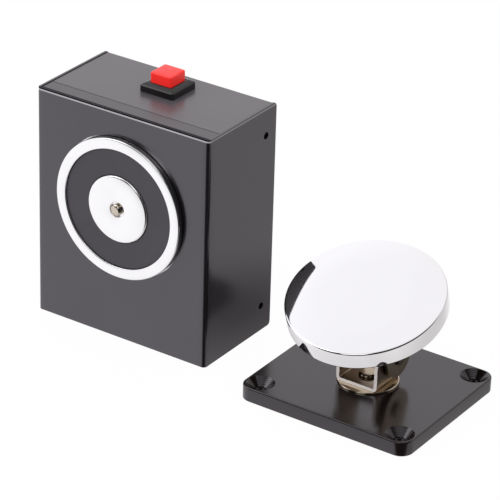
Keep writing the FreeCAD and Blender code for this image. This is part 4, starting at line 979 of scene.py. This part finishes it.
patches = [plate_face(PLATE_T, SINK_R, RIVET_R), plate_face(0.0, BOLT_R, RIVET_HEAD_R),
           patch(loops + PLATE_AT, loop_columns=True), bore(middle_tile, rivet_line)]
patches += [bore(tile, sink_line) for tile in corner_tiles]
make("thick_plate", patches, "plate_paint", "units", ("door_plate",))

# %% [markdown]
# The swivel is a wide plated washer, a folded bracket on it, and a rivet through both. The
# hinge pin is a turned rivet too. All of these are profiles with soft corners. The washer's
# edge is rolled, and that is where it catches the light.

# %% Washer, rivet and pin
UPWARD = (0, 0, 1)
washer_line = soften([(3.03, 7.0), (13.6, 7.0), (13.6, 7.8), (3.03, 7.8)], [0, 0.15, 0.3, 0])
make("swivel_plate_washer", [lathe(washer_line, PLATE_AT, UPWARD, 144)], "washer_steel", "units",
     ("swivel_washer",))
rivet_line = soften([(0, 0.4), (5.5, 0.4), (5.5, 2.6), (3.0, 2.6), (3.0, 9.4), (4.1, 9.4), (4.1, 10.9),
                     (0, 10.9)], [0, 0.8, 0.1, 0, 0, 0.2, 0.9, 0])
make("headed_rivet", [lathe(rivet_line, PLATE_AT, UPWARD, 72, closed=False)], "rivet_steel", "units",
     ("swivel_rivet",))
half_pin = soften([(0, 13.75), (3.6, 13.75), (3.6, 12.35), (2.0, 12.35), (2.0, 0)], [0, 1.0, 0.15, 0, 0], 6)
pin_line = np.concatenate([half_pin, (half_pin * (1, -1))[::-1]])
make("riveted_pin", [lathe(pin_line, HINGE, (1, 0, 0), 72, closed=False)], "rivet_steel", "armature",
     ("hinge_pin",))
spacer_line = soften([(2.05, 0), (4.6, 0), (4.6, 0.5), (2.05, 0.5)], [0, 0.12, 0.12, 0])
make("hinge_spacers", [lathe(spacer_line, HINGE + (side * 10.3, 0, 0), (side, 0, 0), 72) for side in (-1, 1)],
     "washer_plastic", "swivel", ("hinge_washers",))

# %% [markdown]
# Both brackets are U shapes folded from 1.5 mm strip. As with the cover, a flat blank is folded
# by a formula: the web stays flat, a quarter circle follows, and the legs run straight. The
# legs' ends are rounded in the flat, where it is easy. The lower bracket opens upwards, and the
# upper one opens downwards and is then tilted with the disc.

# %% Folded brackets
def fold_strip(points, web_half, bend):
    """(u, v) to across, along, and depth from the web: web, quarter circle, leg."""
    u, run = np.abs(points[:, 0]), bend * math.pi / 2
    flat = web_half - bend
    angle = np.clip(u - flat, 0, run) / bend
    x = np.minimum(u, flat) + bend * np.sin(angle)
    depth = bend * (1 - np.cos(angle)) + np.maximum(u - flat - run, 0)
    return np.stack([np.sign(points[:, 0]) * x, points[:, 1], depth], -1)


def strip_blank(half_long, half_wide, web_half, bend, front_r, back_r):
    """A strip's blank with rounded ends, with lines where the bend and the roundings begin."""
    bends = web_half - bend + bend * math.pi / 2 * np.linspace(0, 1, 8)
    quarter = np.linspace(0, np.pi / 2, 13)
    ends = [half_long - r * (1 - np.sin(quarter)) for r in (front_r, back_r)]
    half = lines(*merge([0], lines(0, bends[0], step=1.5), bends, *ends, digits=4), step=1.5)
    to_front, to_back = -half_wide + front_r * (1 - np.cos(quarter)), half_wide - back_r * (1 - np.cos(quarter))
    points, squares = blank(merge(-half, half, digits=4), lines(*to_front, *to_back, step=1.5))
    return round_corners(points, half_long, half_wide, front_r, back_r), squares


STRIP, STRIP_BEND, RAW_EDGE = 1.5, 2.2, 0.28
web_z, leg_top = low_corner("swivel_bracket")[2], high_corner("swivel_bracket")[2]
LOWER_HALF = 10.3
lower_half_long = LOWER_HALF - STRIP_BEND + STRIP_BEND * math.pi / 2 + (leg_top - web_z - STRIP_BEND)
flat_points, flat_squares = strip_blank(lower_half_long, 9.5, LOWER_HALF, STRIP_BEND, 8.0, 4.2)
folded = fold_strip(flat_points, LOWER_HALF, STRIP_BEND) + PLATE_AT + (0, 0, web_z)
lower = make("folded_swivel", [(folded, flat_squares)], "swivel_steel", "swivel", ("swivel_bracket",),
             closed=False)
thicken(lower, STRIP, RAW_EDGE, 3)


def tilted(points):
    """Turns points about the hinge by the armature's resting tilt."""
    y, z = points[:, 1], points[:, 2]
    turned = [points[:, 0], y * math.cos(TILT) - z * math.sin(TILT), y * math.sin(TILT) + z * math.cos(TILT)]
    return np.stack(turned, -1) + HINGE


REACH, DISC_THICK, DISC_R, EAR_HALF, EAR_END = 23.3, 9.0, 35.0, 12.35, 9.5
upper_half_long = EAR_HALF - STRIP_BEND + STRIP_BEND * math.pi / 2 + (REACH + EAR_END - STRIP_BEND)
ear_r = EAR_END - 0.03
flat_points, flat_squares = strip_blank(upper_half_long, EAR_END, EAR_HALF, STRIP_BEND, ear_r, ear_r)
folded = tilted(fold_strip(flat_points, EAR_HALF, STRIP_BEND) * (1, 1, -1) + (0, 0, REACH))
upper = make("folded_ears", [turned_over((folded, flat_squares))], "ear_steel", "armature",
             ("armature_bracket",), closed=False)
thicken(upper, STRIP, RAW_EDGE, 3)

# %% [markdown]
# The armature disc is turned from steel, lapped flat and bright plated, and left dark below. It
# is nearly a mirror, so its edges matter most. Lapping took a little off the face's border, which
# falls by the square of the way from the flat middle. A soft arc at each edge gathers the whole
# room into a thin line.

# %% The armature disc
FALL, FLAT_R, FACE, TAPPED_R, TAPPED_DEEP = 0.6, 20.0, REACH + DISC_THICK, 2.53, REACH + 6.0
lap = np.linspace(DISC_R - 0.9, FLAT_R, 24)
lapped = np.stack([lap, FACE - FALL * ((lap - FLAT_R) / (DISC_R - FLAT_R)) ** 2], -1)
rim = soften([(TAPPED_R, REACH), (DISC_R, REACH), (DISC_R, FACE - FALL), (DISC_R - 3, FACE - FALL * 0.64)],
             [0, 0.7, 0.8, 0], 10)
disc_line = np.concatenate([rim[:-1], lapped, [(0, FACE), (0, TAPPED_DEEP), (TAPPED_R, TAPPED_DEEP)]])
make("lapped_disc", [lathe(disc_line, HINGE, DISC_UP, 256)], "disc_chrome", "armature", ("armature_disc",))

# %% [markdown]
# At the back of the case a rubber bush lines the cable's hole.

# %% The cable's bush
BUSH_AT = middle("cable_bush") * (1, 0, 1) + CASE_LOW * (0, 1, 0)
bush_line = soften([(4.0, 46.2), (6.0, 46.2), (6.0, 48.2), (8.0, 48.2), (8.0, 49.8), (6.0, 49.8), (6.0, 51.0),
                    (4.0, 51.0)], [0.3, 0.3, 0, 0.4, 0.2, 0, 0.2, 0.4])
make("rubber_bush", [lathe(bush_line, BUSH_AT, TO_BACK, 72)], "bush_rubber", "units", ("cable_bush",))

# %% [markdown]
# The remaining solids are right as they are and keep their meshes. They arrive as loose
# triangles, so a Weld modifier joins them for shading, and an Edge Split modifier keeps every
# corner sharper than thirty degrees. Then round faces shade smoothly and flat ones stay flat.

# %% Dress the solids
def dress(cad, slot_name):
    """The finish goes into the node's slot, and two modifiers tidy how it shades."""
    cad.data.materials.clear()
    cad.data.materials.append(FINISHES[slot_name])
    weld = cad.modifiers.new("join_triangles", "WELD")
    weld.merge_threshold = 0.000002
    split = cad.modifiers.new("keep_corners", "EDGE_SPLIT")
    split.split_angle = math.radians(30)


slot_of = {part["node"]: part["material_slot"] for part in frame["record"]["subparts"]}
# The chassis takes the lighter paint, painted light for the case's top; the flange takes the paint with the
# painted shade of the gap.
slot_of |= {"back_chassis": "lit_top_paint", "magnet_frame": "flange_paint"}
for name, cad in frame["nodes"].items():
    dress(cad, slot_of[name])
print("dressed", len(slot_of), "solids")
